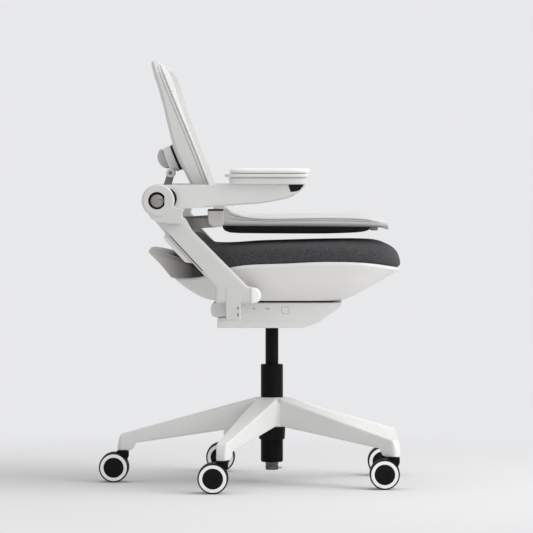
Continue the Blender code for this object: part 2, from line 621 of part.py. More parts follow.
# Back frame
for name, side in (("left", 1), ("right", -1)):
    outline = around(hub, [(-0.013, -0.0355), (0.0132, -0.0687)])
    outline += around(pivot, [(-0.079, 0.0167), (-0.079, -0.016), (-0.057, -0.016), (-0.057, -0.0515)])
    outline += around(pivot, [(-0.0254, -0.0515), (-0.0254, -PIVOT_BOSS_RADIUS)])
    outline += arc(pivot, PIVOT_BOSS_RADIUS, -90, 90, 8)
    outline += around(pivot, [(-0.011, 0.0185)]) + around(hub, [(0.0709, -0.0634), (0.0552, -0.0355)])
    arm = piece(
        "back_arm_" + name, prism(outline, *across(side, arm_inner, arm_outer)), GREY,
        (pivot[0], side * arm_inner, pivot[1]), 0.4,
    )
    soften(arm, 0.0035, 1)
    neck = around(hub, [(-0.0165, -0.036), (0.0, -0.050), (0.048, -0.050), (0.0545, -0.0375)])
    neck += around(hub, [(0.052, -0.024), (0.028, -0.014), (-0.028, -0.014)])
    combine(arm, prism(neck, *across(side, arm_inner + 0.0008, disc_outer - 0.002)), "UNION")
    disc = [(HUB_DISC_RADIUS - 0.003, arm_inner + 0.0004), (HUB_DISC_RADIUS, arm_inner + 0.003)]
    disc += [(HUB_DISC_RADIUS, disc_outer - 0.003), (HUB_DISC_RADIUS - 0.003, disc_outer)]
    combine(arm, turned([(r, side * h) for r, h in disc], 24, along_y(*hub)), "UNION")
    gap = arc(hub, BEAM_EYE_RADIUS + RUN, 231, 325, 8)
    gap += around(hub, [(0.080, -BEAM_EYE_RADIUS * 0.6 - RUN), (0.080, 0.060), (-0.060, 0.060)])
    gap += around(hub, [(-0.060, -BEAM_EYE_RADIUS * 0.8)])
    combine(arm, prism(gap, *across(side, eye_inner - RUN / 2, eye_outer + RUN / 2)), "DIFFERENCE")
    shaft = [(HUB_PIN_RADIUS + FIT, arm_inner - 0.02), (HUB_PIN_RADIUS + FIT, disc_outer - 0.0045)]
    shaft += [(HUB_HEAD_RADIUS, disc_outer - 0.0045), (HUB_HEAD_RADIUS, disc_outer + 0.02)]
    combine(arm, turned([(r, side * h) for r, h in shaft], 20, along_y(*hub)), "DIFFERENCE")
    hole = [(PIVOT_PIN_RADIUS + FIT, arm_inner - 0.02), (PIVOT_PIN_RADIUS + FIT, arm_outer - 0.004)]
    combine(arm, turned([(r, side * h) for r, h in hole], 12, along_y(*pivot)), "DIFFERENCE")
    pin = [(HUB_PIN_RADIUS, arm_inner + 0.001), (HUB_PIN_RADIUS, disc_outer - 0.0045 + FIT)]
    pin += [(HUB_HEAD_RADIUS - FIT, disc_outer - 0.0045 + FIT), (HUB_HEAD_RADIUS - FIT, disc_outer - 0.0022)]
    pin += [(HUB_HEAD_RADIUS * 0.66, disc_outer - 0.0022), (HUB_HEAD_RADIUS * 0.60, disc_outer - 0.0004)]
    pin = turned([(r, side * h) for r, h in pin], 20, along_y(*hub))
    piece("armrest_pin_" + name, pin, BLACK, (hub[0], side * arm_inner, hub[1]), 0.35)

edge_high = Vector((hub[0] + 0.0132, 0.0, hub[1] - 0.0687))
edge_low = Vector((pivot[0] - 0.079, 0.0, pivot[1] + 0.0167))
edge_way = edge_low - edge_high
edge_out = Vector((edge_way.z, 0.0, -edge_way.x)).normalized()
for name, side in (("left", 1), ("right", -1)):
    strip = []
    for share, out in ((0.01, FIT), (0.025, 0.0085), (0.10, TRIM_WIDTH), (0.47, TRIM_WIDTH), (0.55, FIT)):
        corner = edge_high + edge_way * share + edge_out * out
        strip.append((corner.x, corner.z))
    made = prism(strip, *across(side, arm_inner + 0.004, arm_outer - 0.006))
    piece("arm_trim_" + name, made, WHITE, (pivot[0], side * arm_inner, pivot[1]), 0.4)

cross = [(CROSS_TUBE_RADIUS, -(arm_inner + 0.0004 - FIT)), (CROSS_TUBE_RADIUS, arm_inner + 0.0004 - FIT)]
piece("cross_tube", turned(cross, 20, along_y(*hub)), GREY, (hub[0], 0.0, hub[1]), 0.35)

bar = prism(link(hub, STRUT_RADIUS, tilt, STRUT_RADIUS - 0.001), -0.011, 0.011)
strut = piece("back_strut", bar, GREY, (tilt[0], 0.0, tilt[1]), 0.4)
clamp = [(CROSS_TUBE_RADIUS + 0.007, -0.022), (CROSS_TUBE_RADIUS + 0.007, 0.022)]
combine(strut, turned(clamp, 20, along_y(*hub)), "UNION")
eye = [(0.009, -0.012), (0.009, 0.012)]
combine(strut, turned(eye, 16, along_y(*tilt)), "UNION")
pin = [(TILT_PIN_RADIUS, -0.0235), (TILT_PIN_RADIUS, 0.0235)]
combine(strut, turned(pin, 12, along_y(*tilt)), "UNION")
bore = [(CROSS_TUBE_RADIUS + FIT, -0.05), (CROSS_TUBE_RADIUS + FIT, 0.05)]
combine(strut, turned(bore, 20, along_y(*hub)), "DIFFERENCE")

bracket_root = (hub[0] + 0.036, hub[1] - 0.051)
bracket_end = (fold[0], fold[1] - 0.009)
for name, side in (("left", 1), ("right", -1)):
    bar = link(bracket_root, 0.0105, bracket_end, 0.0105)
    bar = prism(bar, *across(side, arm_inner - 0.018, arm_inner - FIT))
    bracket = piece("fold_bracket_" + name, bar, TAUPE, (fold[0], side * arm_inner, fold[1]), 0.5)
    cup = [(-0.0168, 0.0185), (-0.0150, -0.0040)] + arc((-0.0030, -0.0065), 0.0120, 180, 270, 4)
    cup += arc((0.0085, -0.0095), 0.0090, 270, 360, 4) + [(0.0178, 0.0185)]
    cup = prism(around(fold, cup), *across(side, backrest_half_width + RUN, arm_inner + CUP_PROUD))
    combine(bracket, cup, "UNION")
    pin = [(FOLD_PIN_RADIUS, backrest_half_width - 0.020), (FOLD_PIN_RADIUS, backrest_half_width + 0.010)]
    combine(bracket, turned([(r, side * h) for r, h in pin], 16, along_y(*fold)), "UNION")

# Armrests
beam_top = 0.0337
pad_middle = (eye_inner + eye_outer) / 2 + 0.003
pad_centre = hub[0] + BEAM_LENGTH - PAD_LENGTH / 2 + 0.007
for name, side in (("left", 1), ("right", -1)):
    place = (hub[0], side * (eye_inner + eye_outer) / 2, hub[1])
    outline = arc(hub, BEAM_EYE_RADIUS, 90, 328, 14)
    shares = [(0.119, -0.0177), (0.317, -0.0145), (0.454, -0.0114), (0.693, -0.0061), (0.829, 0.0012)]
    shares += [(0.898, 0.0064), (0.952, 0.0159), (1.0, 0.0295), (0.991, 0.0315), (0.980, 0.0262)]
    shares += [(0.944, 0.0192), (0.900, 0.0180), (0.884, beam_top)]
    outline += around(hub, [(BEAM_LENGTH * x, z) for x, z in shares])
    bar = prism(outline, *across(side, eye_inner, eye_outer))
    beam = piece("armrest_beam_" + name, bar, GREY, place, 0.4)
    soften(beam, 0.0028, 1)
    bore = [(HUB_PIN_RADIUS + FIT, eye_inner - 0.02), (HUB_PIN_RADIUS + FIT, eye_outer + 0.02)]
    combine(beam, turned([(r, side * h) for r, h in bore], 16, along_y(*hub)), "DIFFERENCE")
    low = hub[1] + beam_top + FIT
    base_top = PAD_LAYER * 1.65
    plate_top = PAD_LAYER * 2.75
    stack = [(0.010, 0.0), (0.008, 0.0015), (0.006, base_top), (0.009, base_top + 0.0004)]
    stack += [(0.009, base_top + 0.0014), (0.001, base_top + 0.0018), (0.0, plate_top)]
    stack += [(0.006, plate_top + 0.0004), (0.006, plate_top + 0.0014)]
    loops = []
    for shrink, rise in stack:
        middle = (pad_centre + shrink * 0.3, side * pad_middle)
        plan = rounded(middle, PAD_LENGTH / 2 - shrink, PAD_WIDTH / 2 - shrink, 4.2, 20)
        loops.append([(x, y, low + rise) for x, y in plan])
    piece("armrest_carrier_" + name, loft(loops), GREY, place, 0.45)
    low = low + plate_top + 0.0014 + FIT
    stack = [(0.006, 0.0), (0.0005, 0.0008), (0.0, PAD_LAYER * 0.50), (0.0016, PAD_LAYER * 0.88)]
    stack += [(0.006, PAD_LAYER * 1.09), (0.016, PAD_LAYER * 1.15)]
    loops = []
    for shrink, rise in stack:
        middle = (pad_centre + PAD_SETBACK / 2, side * pad_middle)
        plan = rounded(middle, (PAD_LENGTH - PAD_SETBACK) / 2 - shrink, PAD_WIDTH / 2 - shrink, 4.2, 20)
        loops.append([(x, y, low + rise) for x, y in plan])
    piece("armrest_pad_" + name, loft(loops), WHITE, place, 0.55)

# Folding backrest
BACKREST_AT = (0.010, 0.038, 0.052, 0.093, 0.1685, 0.262, 0.4786, 0.66, 0.805, 0.9026, 0.9643, 0.9917, 1.0)
BACKREST_TOP = (
    0.3333, 0.8542, 1.0000, 0.6458, 0.2917, 0.1667, 0.2000, 0.2292, 0.1875, 0.0625, -0.1250, -0.2917,
    -0.4375,
)
BACKREST_LOW = (
    -0.6875, -0.7167, -0.7208, -0.7250, -0.7333, -0.7417, -0.7583, -0.7833, -0.8083, -0.8292, -0.8500,
    -0.8333, -0.7292,
)
BACKREST_WIDTH = (1.0, 1.0, 1.0, 1.0, 1.0, 1.0, 1.0, 0.995, 0.985, 0.955, 0.895, 0.835, 0.785)
BACKREST_SPREAD = (-1.0, -0.985, -0.945, -0.925, -0.46, 0.0, 0.46, 0.925, 0.945, 0.985, 1.0)
RECESS_DEPTH = 0.008


def backrest_row(at):
    top = BACKREST_DEPTH * curve(at, BACKREST_AT, BACKREST_TOP)
    low = BACKREST_DEPTH * curve(at, BACKREST_AT, BACKREST_LOW)
    return top, low, float(np.interp(at, BACKREST_AT, BACKREST_WIDTH))


pad_from, pad_to = 0.030, 0.91
recess_rows = [pad_from - 0.008, pad_from, pad_to, pad_to + 0.012]
plain_rows = [at for at in BACKREST_AT if min(abs(at - row) for row in recess_rows) > 0.0075]
rows_at = sorted(plain_rows + recess_rows)
tops, lows = [], []
for at in rows_at:
    top, low, width = backrest_row(at)
    x = fold[0] + BACKREST_LENGTH * at
    inside = pad_from - 0.001 <= at <= pad_to + 0.001
    tops.append([])
    lows.append([])
    for spread in BACKREST_SPREAD:
        y = spread * width * backrest_half_width
        edge = max(0.0, (abs(spread) - 0.93) / 0.07)
        tops[-1].append((x, y, fold[1] + top - 0.003 * edge ** 2))
        hollow = RECESS_DEPTH if inside and abs(spread) < 0.93 else 0.0
        lows[-1].append((x, y, fold[1] + low + hollow + 0.0015 * edge ** 2))
shell = piece("backrest_shell", slab(tops, lows), WHITE, (fold[0], 0.0, fold[1]), 0.4)
for side in (1, -1):
    ear = arc((0.0, 0.0), FOLD_EYE_RADIUS - 0.001, 100, 260, 12)
    ear = around(fold, ear + [(0.024, -FOLD_EYE_RADIUS + 0.001), (0.024, FOLD_EYE_RADIUS - 0.001)])
    ear_end = backrest_half_width - 0.0025
    combine(shell, prism(ear, *across(side, ear_end - 0.0215, ear_end)), "UNION")
    hole = [(FOLD_PIN_RADIUS + FIT, ear_end - 0.0275), (FOLD_PIN_RADIUS + FIT, ear_end + 0.0125)]
    combine(shell, turned([(r, side * h) for r, h in hole], 16, along_y(*fold)), "DIFFERENCE")

pad_length = (pad_to - pad_from) * BACKREST_LENGTH
pad_x = fold[0] + (pad_from + pad_to) / 2 * BACKREST_LENGTH
pad_half = 0.925 * backrest_row(pad_to)[2] * backrest_half_width - 0.0015
PAD_RINGS = ((0.40, 0.0), (0.80, 0.0), (0.995, 0.0), (1.0, 0.15), (0.998, 0.38), (0.985, 0.62), (0.955, 0.82))
PAD_RINGS += ((0.90, 0.93), (0.76, 0.985), (0.40, 1.0))
loops = []
for scale, share in PAD_RINGS:
    plan = rounded((pad_x, 0.0), (pad_length / 2 - 0.0015) * scale, pad_half * scale, 8.0, 32)
    loop = []
    for x, y in plan:
        top, low, width = backrest_row((x - fold[0]) / BACKREST_LENGTH)
        high = fold[1] + low + RECESS_DEPTH - FIT * 2
        loop.append((x, y, high - (RECESS_DEPTH + BACKREST_PAD_BULGE) * share))
    loops.append(loop)
piece("backrest_pad", loft(loops), FABRIC, (fold[0], 0.0, fold[1]), 0.9)

bumper_at = 0.915
for name, side in (("left", 1), ("right", -1)):
    top, low, width = backrest_row(bumper_at)
    y = side * 0.962 * width * backrest_half_width
    x = fold[0] + BACKREST_LENGTH * bumper_at
    z = fold[1] + low - FIT * 1.5
    foot = [(0.0045, z), (0.0045, z - 0.004), (0.0030, z - 0.0065)]
    loops = []
    for half, rise in foot:
        loops.append([(px, py, rise) for px, py in rounded((x, y), half * 2.0, half, 4.0, 12)])
    piece("rest_bumper_" + name, loft(loops), BLACK, (x, y, z), 0.7)

# Upper back
lean = Vector((-math.sin(UPPER_LEAN), 0.0, math.cos(UPPER_LEAN)))
facing = Vector((math.cos(UPPER_LEAN), 0.0, math.sin(UPPER_LEAN)))
UPPER_AT = (0.0, 0.02, 0.07, 0.20, 0.38, 0.54, 0.70, 0.83, 0.92, 0.965, 0.99, 1.0)
UPPER_DEPTH = (
    0.7053, 0.8186, 0.8816, 0.9572, 1.0000, 0.8564, 0.6600, 0.5416, 0.4786, 0.4156, 0.3652, 0.3149,
)
UPPER_FRONT = (
    -0.0882, -0.0856, -0.0756, -0.0403, 0.0, 0.0378, 0.1134, 0.2141, 0.2519, 0.1889, 0.0756, 0.0,
)
UPPER_WIDTH = (0.993, 1.0, 1.0, 1.0, 1.0, 1.0, 0.995, 0.975, 0.925, 0.865, 0.795, 0.735)
UPPER_HOLLOW = (
    0.5038, 0.5542, 0.5919, 0.6675, 0.7053, 0.5668, 0.3778, 0.2393, 0.1385, 0.0000, 0.0000, 0.0000,
)
rim_share = 1 - UPPER_RIM / upper_half_width
chamfer_share = 1 - UPPER_CHAMFER_WIDTH / upper_half_width
UPPER_SPREAD = (1.0, chamfer_share, rim_share + 0.012, rim_share, rim_share - 0.028, 0.60, 0.20)
UPPER_SPREAD = [-s for s in UPPER_SPREAD] + [s for s in reversed(UPPER_SPREAD)]
puck_at = 0.3327


def upper_depth(at, spread):
    return UPPER_THICKNESS * curve(at, UPPER_AT, UPPER_DEPTH) + UPPER_BOW * (1 - spread * spread)


PUCK_DROP = 0.0265
PUCK_BACK = 0.0251
tilt_point = Vector((tilt[0], 0.0, tilt[1]))
puck_seat = tilt_point + lean * PUCK_DROP + facing * PUCK_BACK
seat_depth = upper_depth(puck_at, 0.0) + 0.002
origin = puck_seat + facing * (seat_depth + FIT) - lean * (puck_at * UPPER_LENGTH)
fronts, backs = [], []
for at in UPPER_AT:
    width = float(np.interp(at, UPPER_AT, UPPER_WIDTH)) * upper_half_width
    hollow = UPPER_THICKNESS * curve(at, UPPER_AT, UPPER_HOLLOW)
    swell = UPPER_THICKNESS * curve(at, UPPER_AT, UPPER_FRONT)
    chamfer = max(UPPER_CHAMFER * 0.6, UPPER_CHAMFER + swell)
    rise = UPPER_SLANT * max(0.0, (at - 0.86) / 0.14)
    fronts.append([])
    backs.append([])
    for spread in UPPER_SPREAD:
        flat = origin + lean * (at * UPPER_LENGTH) + Vector((0.0, spread * width, 0.0))
        inside = min(1.0, max(0.0, (rim_share - abs(spread)) / 0.028))
        edge = max(0.0, (abs(spread) - chamfer_share) / (1 - chamfer_share))
        dish = 0.004 * (1 - (spread / rim_share) ** 2) * inside if hollow > 0.003 else 0.0
        front = (hollow + swell) * inside - swell + dish + chamfer * edge
        back = upper_depth(at, spread) - 0.002 * edge
        fronts[-1].append(flat - facing * front + lean * rise * front)
        backs[-1].append(flat - facing * back + lean * rise * back)
upper = piece("upper_shell", slab(fronts, backs), GREY, (tilt[0], 0.0, tilt[1]), 0.4)

turn = facing.to_track_quat("Z", "Y").to_matrix().to_4x4()
puck_place = Matrix.Translation(puck_seat) @ turn
boss = [(PUCK_RADIUS + 0.002, FIT), (PUCK_RADIUS + 0.003, 0.010)]
combine(upper, turned(boss, 28, puck_place), "UNION")

puck_profile = [(PUCK_RADIUS - 0.004, -PUCK_THICKNESS), (PUCK_RADIUS - 0.001, -PUCK_THICKNESS + 0.004)]
puck_profile += [(PUCK_RADIUS, -0.004), (PUCK_RADIUS - 0.001, 0.0)]
puck = piece("tilt_puck", turned(puck_profile, 20, puck_place), GREY, (tilt[0], 0.0, tilt[1]), 0.4)
for side in (1, -1):
    lug = [(0.0095, side * 0.0128), (0.0095, side * 0.0245)]
    combine(puck, turned(lug, 12, along_y(*tilt)), "UNION")
notch = []
for up, back in ((-0.0125, 0.011), (-0.06, 0.011), (-0.06, 0.060), (-0.0125, 0.060)):
    corner = puck_seat + lean * up - facing * back
    notch.append((corner.x, corner.z))
combine(puck, prism(notch, -0.0128, 0.0128), "DIFFERENCE")
hole = [(TILT_PIN_RADIUS + FIT, -0.04), (TILT_PIN_RADIUS + FIT, 0.04)]
combine(puck, turned(hole, 12, along_y(*tilt)), "DIFFERENCE")

cap_place = Matrix.Translation(puck_seat + lean * 0.0105 - facing * (PUCK_THICKNESS + FIT)) @ turn
cap = ((0.30, 1.0), (0.62, 0.90), (0.86, 0.64), (0.98, 0.30), (1.0, 0.0))
cap = [(PUCK_CAP_RADIUS * r, -0.016 * h) for r, h in cap]
cap_made = piece("puck_cap", turned(cap, 24, cap_place), WHITE, (tilt[0], 0.0, tilt[1]), 0.4)
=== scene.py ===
"""Looks of the folding office chair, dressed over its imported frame.

Metres in the row frame: +Z up, +X the way the seat faces, the right armrest at -Y. Every shape is placed from
the frame's own nodes and joints. The order is helpers, finishes, base, lift, seat, back frame, armrests,
panels, cushions and studio.
"""

import json
from math import atan2, copysign, cos, degrees, exp, pi, radians, sin, sqrt

import bmesh
import bpy
import numpy as np
from mathutils import Matrix, Vector

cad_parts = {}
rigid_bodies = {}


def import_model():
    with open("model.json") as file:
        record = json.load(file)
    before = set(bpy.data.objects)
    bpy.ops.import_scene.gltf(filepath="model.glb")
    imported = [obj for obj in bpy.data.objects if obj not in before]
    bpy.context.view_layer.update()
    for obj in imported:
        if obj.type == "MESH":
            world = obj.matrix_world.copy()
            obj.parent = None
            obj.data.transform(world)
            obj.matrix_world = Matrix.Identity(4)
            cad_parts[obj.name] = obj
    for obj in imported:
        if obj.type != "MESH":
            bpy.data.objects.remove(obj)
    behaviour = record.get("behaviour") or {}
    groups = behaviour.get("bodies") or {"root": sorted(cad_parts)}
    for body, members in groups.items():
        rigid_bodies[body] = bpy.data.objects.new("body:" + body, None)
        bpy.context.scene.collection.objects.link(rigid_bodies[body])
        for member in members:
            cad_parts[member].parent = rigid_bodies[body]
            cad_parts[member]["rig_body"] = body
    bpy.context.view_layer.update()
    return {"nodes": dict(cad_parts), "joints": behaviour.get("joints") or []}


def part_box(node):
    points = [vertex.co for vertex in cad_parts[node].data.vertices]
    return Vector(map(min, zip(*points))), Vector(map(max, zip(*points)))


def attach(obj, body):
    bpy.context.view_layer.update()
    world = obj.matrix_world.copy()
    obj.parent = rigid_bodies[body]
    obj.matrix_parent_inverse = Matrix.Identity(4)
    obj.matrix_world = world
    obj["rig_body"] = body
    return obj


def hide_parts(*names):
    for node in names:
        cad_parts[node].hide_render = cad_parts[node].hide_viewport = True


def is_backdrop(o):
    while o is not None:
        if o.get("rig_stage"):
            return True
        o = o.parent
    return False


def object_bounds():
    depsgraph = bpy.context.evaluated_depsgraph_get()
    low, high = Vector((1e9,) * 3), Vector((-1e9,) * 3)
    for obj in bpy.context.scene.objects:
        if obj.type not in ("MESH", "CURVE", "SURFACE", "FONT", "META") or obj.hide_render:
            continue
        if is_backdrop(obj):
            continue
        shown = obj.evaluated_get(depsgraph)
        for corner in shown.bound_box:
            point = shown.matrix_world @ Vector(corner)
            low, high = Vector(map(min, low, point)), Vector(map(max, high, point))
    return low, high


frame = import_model()
scene = bpy.context.scene
joints = {joint["name"]: joint for joint in frame["joints"]}
SIDES = (("left", 1), ("right", -1))


def middle(node):
    low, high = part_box(node)
    return (low + high) / 2


def anchor(joint):
    x, _, z = joints[joint]["pos_m"]
    return (x, z)


LIFT = middle("lift_tube").x
PIVOT = anchor("back_recline")
HUB = anchor("armrest_right_flip")
FOLD = anchor("backrest_fold")
TILT = anchor("upper_tilt")


# Mesh helpers
def loft(loops, ring=False):
    """Skin closed loops of equal length; the ends are capped, or joined when ring is true."""
    bm = bmesh.new()
    rows = [[bm.verts.new(point) for point in loop] for loop in loops]
    pairs = list(zip(rows, rows[1:]))
    if ring:
        pairs.append((rows[-1], rows[0]))
    count = len(rows[0])
    for low, high in pairs:
        for k in range(count):
            n = (k + 1) % count
            bm.faces.new((low[k], low[n], high[n], high[k]))
    if not ring:
        bm.faces.new(rows[0])
        bm.faces.new(rows[-1])
    return bm


def turned(profile, place, steps=72, ring=False):
    """Turn (radius, height) points about place's local Z."""
    loops = []
    for radius, height in profile:
        angles = [2 * pi * k / steps for k in range(steps)]
        loops.append([place @ Vector((radius * cos(a), radius * sin(a), height)) for a in angles])
    return loft(loops, ring)


def peg(radius, first, last, place, steps=72):
    """Plain round bar along place's local Z."""
    return turned([(radius, first), (radius, last)], place, steps)


def along_z(x=LIFT, y=0.0, z=0.0):
    return Matrix.Translation((x, y, z))


def along_y(point, y=0.0):
    return Matrix.Translation((point[0], y, point[1])) @ Matrix.Rotation(-pi / 2, 4, "X")


def prism(outline, low, high):
    """Extrude an (x, z) outline across the chair."""
    return loft([[(x, low, z) for x, z in outline], [(x, high, z) for x, z in outline]])


def slab(outline, side, inner, outer):
    """Extrude an (x, z) outline on one side of the chair, between two distances from its middle."""
    return prism(outline, inner, outer) if side > 0 else prism(outline, -outer, -inner)


def around(centre, offsets):
    return [(centre[0] + x, centre[1] + z) for x, z in offsets]


def offset(centre, *pairs):
    """Points at offsets in millimetres from an (x, z) centre."""
    return [(centre[0] + x / 1000, centre[1] + z / 1000) for x, z in pairs]


def rings(height, *pairs):
    """Profile points as radius or inset and rise in millimetres, counted from one height."""
    return offset((0.0, height), *pairs)


def arc(centre, radius, first, last, steps):
    points = []
    for k in range(steps + 1):
        a = radians(first + (last - first) * k / steps)
        points.append((centre[0] + radius * cos(a), centre[1] + radius * sin(a)))
    return points


def link(first, first_radius, second, second_radius, steps=16):
    """Outline of a bar with a round end at each of two (x, z) points."""
    heading = degrees(atan2(second[1] - first[1], second[0] - first[0]))
    far = arc(second, second_radius, heading - 90, heading + 90, steps)
    return far + arc(first, first_radius, heading + 90, heading + 270, steps)


def left_of(way):
    return np.stack([-way[:, 1], way[:, 0]], axis=1) / np.linalg.norm(way, axis=1, keepdims=True)


def ribbon(path, near, far):
    """Outline of a band that runs to the left of an (x, z) path, between two distances from it."""
    points = np.asarray(path, dtype=float)
    left = left_of(np.gradient(points, axis=0))
    return [tuple(p) for p in points + left * near] + [tuple(p) for p in (points + left * far)[::-1]]


def drawn_in(outline, inset):
    """Closed (x, z) outline with every point moved inward."""
    points = np.asarray(outline, dtype=float)
    after, before = np.roll(points, -1, axis=0), np.roll(points, 1, axis=0)
    turn = np.sign(np.sum(points[:, 0] * after[:, 1] - points[:, 1] * after[:, 0]))
    return [tuple(p) for p in points + left_of(after - before) * turn * inset]


def curve(at, places, values):
    """Smooth curve through (places, values), read at one place."""
    places = np.asarray(places, dtype=float)
    values = np.asarray(values, dtype=float)
    slopes = np.gradient(values, places)
    at = min(max(at, places[0]), places[-1])
    k = int(min(np.searchsorted(places, at, side="right") - 1, len(places) - 2))
    span = places[k + 1] - places[k]
    t = (at - places[k]) / span
    rise = (1 + 2 * t) * (1 - t) ** 2 * values[k] + t * t * (3 - 2 * t) * values[k + 1]
    return float(rise + span * (t * (1 - t) ** 2 * slopes[k] - t * t * (1 - t) * slopes[k + 1]))


def ease(low, high, at):
    t = min(1.0, max(0.0, (at - low) / (high - low)))
    return t * t * (3 - 2 * t)


def rounded(centre, half_length, half_width, power, count):
    """Plan outline between a box and an ellipse, as (x, y) points from the front round by +Y."""
    points = []
    for k in range(count):
        a = 2 * pi * k / count
        c, s = cos(a), sin(a)
        x = centre[0] + half_length * copysign(abs(c) ** (2 / power), c)
        y = centre[1] + half_width * copysign(abs(s) ** (2 / power), s)
        points.append((x, y))
    return points


# Object helpers
def add(name, data):
    made = bpy.data.objects.new(name, data)
    scene.collection.objects.link(made)
    return made


def aim(made, place, target):
    made.location = place
    made.rotation_euler = (Vector(target) - Vector(place)).to_track_quat("-Z", "Y").to_euler()


def bake(made):
    """Apply every modifier of made."""
    bpy.context.view_layer.update()
    graph = bpy.context.evaluated_depsgraph_get()
    mesh = bpy.data.meshes.new_from_object(made.evaluated_get(graph), depsgraph=graph)
    made.modifiers.clear()
    old, made.data = made.data, mesh
    bpy.data.meshes.remove(old)
    return made


def work(bm, bevel=0.0, segments=4):
    """Object from bm with its normals outward and its sharp edges rounded."""
    bmesh.ops.recalc_face_normals(bm, faces=bm.faces)
    mesh = bpy.data.meshes.new("work")
    bm.to_mesh(mesh)
    bm.free()
    made = add("work", mesh)
    if bevel:
        edge = made.modifiers.new("edges", "BEVEL")
        edge.width = bevel
        edge.segments = segments
        edge.limit_method = "ANGLE"
        edge.angle_limit = radians(33)
        bake(made)
    return made


def merge(made, other, operation="UNION"):
    change = made.modifiers.new("merge", "BOOLEAN")
    change.operation = operation
    change.solver = "EXACT"
    change.object = other
    bake(made)
    if not made.data.polygons:
        raise RuntimeError("nothing is left of a piece after " + operation)
    bpy.data.objects.remove(other, do_unlink=True)
    return made


def cut(made, bm):
    return merge(made, work(bm), "DIFFERENCE")


def crown(made, side, inset, rise):
    """Swell the big flat face on the outer side of a bar."""
    bm = bmesh.new()
    bm.from_mesh(made.data)
    outer = max(bm.faces, key=lambda face: face.calc_area() * (face.normal.y * side > 0.99))
    bmesh.ops.inset_region(bm, faces=[outer], thickness=inset, depth=rise, use_even_offset=True)
    bm.to_mesh(made.data)
    bm.free()
    return made


def show(made, look, *nodes, name=None, on=None, angle=38):
    """Name a finished piece, give it its look and let it ride in place of its CAD nodes or on one's body."""
    made.name = name or "look_" + nodes[0]
    made.data.name = made.name
    made.data.materials.clear()
    made.data.materials.append(look)
    made.data.shade_smooth()
    made.data.set_sharp_from_angle(angle=radians(angle))
    made.modifiers.new("normals", "WEIGHTED_NORMAL").keep_sharp = True
    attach(made, frame["nodes"][on or nodes[0]]["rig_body"])
    if nodes:
        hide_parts(*nodes)
    return made


# Finishes
def fill(node, values):
    for key, value in values.items():
        node.inputs[key].default_value = value
    return node


def fresh(tree, kind, operation=None):
    node = tree.nodes.new("ShaderNode" + kind)
    if operation:
        node.operation = operation
    return node


def wire(start, end):
    start.id_data.links.new(start, end)


def maths(tree, operation, first, second):
    node = fresh(tree, "Math", operation)
    wire(first, node.inputs[0])
    wire(second, node.inputs[1])
    return node.outputs["Value"]


def texture(tree, kind, place, scale, **settings):
    node = fill(fresh(tree, "Tex" + kind), {"Scale": scale})
    for key, value in settings.items():
        if key in node.inputs:
            node.inputs[key].default_value = value
        else:
            setattr(node, key, value)
    wire(place, node.inputs["Vector"])
    return node.outputs["Fac"]


def shades(tree, factor, low, high, spread=(0.3, 0.7)):
    ramp = fresh(tree, "ValToRGB")
    for element, position, colour in zip(ramp.color_ramp.elements, spread, (low, high)):
        element.position = position
        element.color = (*colour, 1.0)
    wire(factor, ramp.inputs["Fac"])
    return ramp.outputs["Color"]


def span(tree, factor, low, high, start=0.3, end=0.7):
    """Map a factor that runs from start to end to low and high."""
    node = fresh(tree, "MapRange")
    fill(node, {"From Min": start, "From Max": end, "To Min": low, "To Max": high})
    wire(factor, node.inputs["Value"])
    return node.outputs["Result"]


def relief(tree, height, depth, strength):
    node = fill(fresh(tree, "Bump"), {"Strength": strength, "Distance": depth})
    wire(height, node.inputs["Height"])
    return node.outputs["Normal"]


def blend(tree, factor, first, second, output):
    """Send a mix of two shaders to the output of a tree."""
    mix = fresh(tree, "MixShader")
    for source, socket in zip((factor, first, second), mix.inputs):
        wire(source, socket)
    wire(mix.outputs["Shader"], tree.nodes[output].inputs["Surface"])


def blank(name, metallic=0.0):
    made = bpy.data.materials.new("look_" + name)
    made["slot"] = name
    made.use_nodes = True
    tree = made.node_tree
    shader = tree.nodes["Principled BSDF"]
    shader.inputs["Metallic"].default_value = metallic
    place = fresh(tree, "TexCoord").outputs["Object"]
    return made, tree, shader, place


def moulded(name, colour, roughness, grain=1400, depth=0.00005, drift=0.03, metallic=0.0, shine=0.5):
    """Moulded plastic or painted metal: fine spark-eroded grain, with broad drifts of tone and gloss."""
    made, tree, shader, place = blank(name, metallic)
    broad = texture(tree, "Noise", place, 7.0, Detail=3.0)
    fine = texture(tree, "Noise", place, grain, Detail=3.0)
    low = tuple(c * (1 - drift) for c in colour)
    high = tuple(min(1.0, c * (1 + drift)) for c in colour)
    wire(shades(tree, broad, low, high), shader.inputs["Base Color"])
    wire(span(tree, broad, roughness - 0.05, roughness + 0.05), shader.inputs["Roughness"])
    wire(relief(tree, fine, depth, 0.35), shader.inputs["Normal"])
    shader.inputs["Specular IOR Level"].default_value = shine
    return made


def woven(name, dark, light):
    """Heather knit: two thread directions under a mottle of dark and light yarn."""
    made, tree, shader, place = blank(name)
    mottle = texture(tree, "Noise", place, 330.0, Detail=3.0, Roughness=0.7)
    broad = texture(tree, "Noise", place, 12.0, Detail=2.0)
    warp = texture(tree, "Wave", place, 170.0, Distortion=1.5, bands_direction="X")
    weft = texture(tree, "Wave", place, 170.0, Distortion=1.5, bands_direction="DIAGONAL")
    threads = maths(tree, "MULTIPLY", warp, weft)
    height = maths(tree, "ADD", threads, mottle)
    wire(shades(tree, mottle, dark, light, (0.36, 0.66)), shader.inputs["Base Color"])
    wire(span(tree, broad, 0.84, 0.96), shader.inputs["Roughness"])
    wire(relief(tree, height, 0.0005, 0.6), shader.inputs["Normal"])
    fill(shader, {"Sheen Weight": 0.05, "Sheen Roughness": 0.5, "Specular IOR Level": 0.25})
    return made


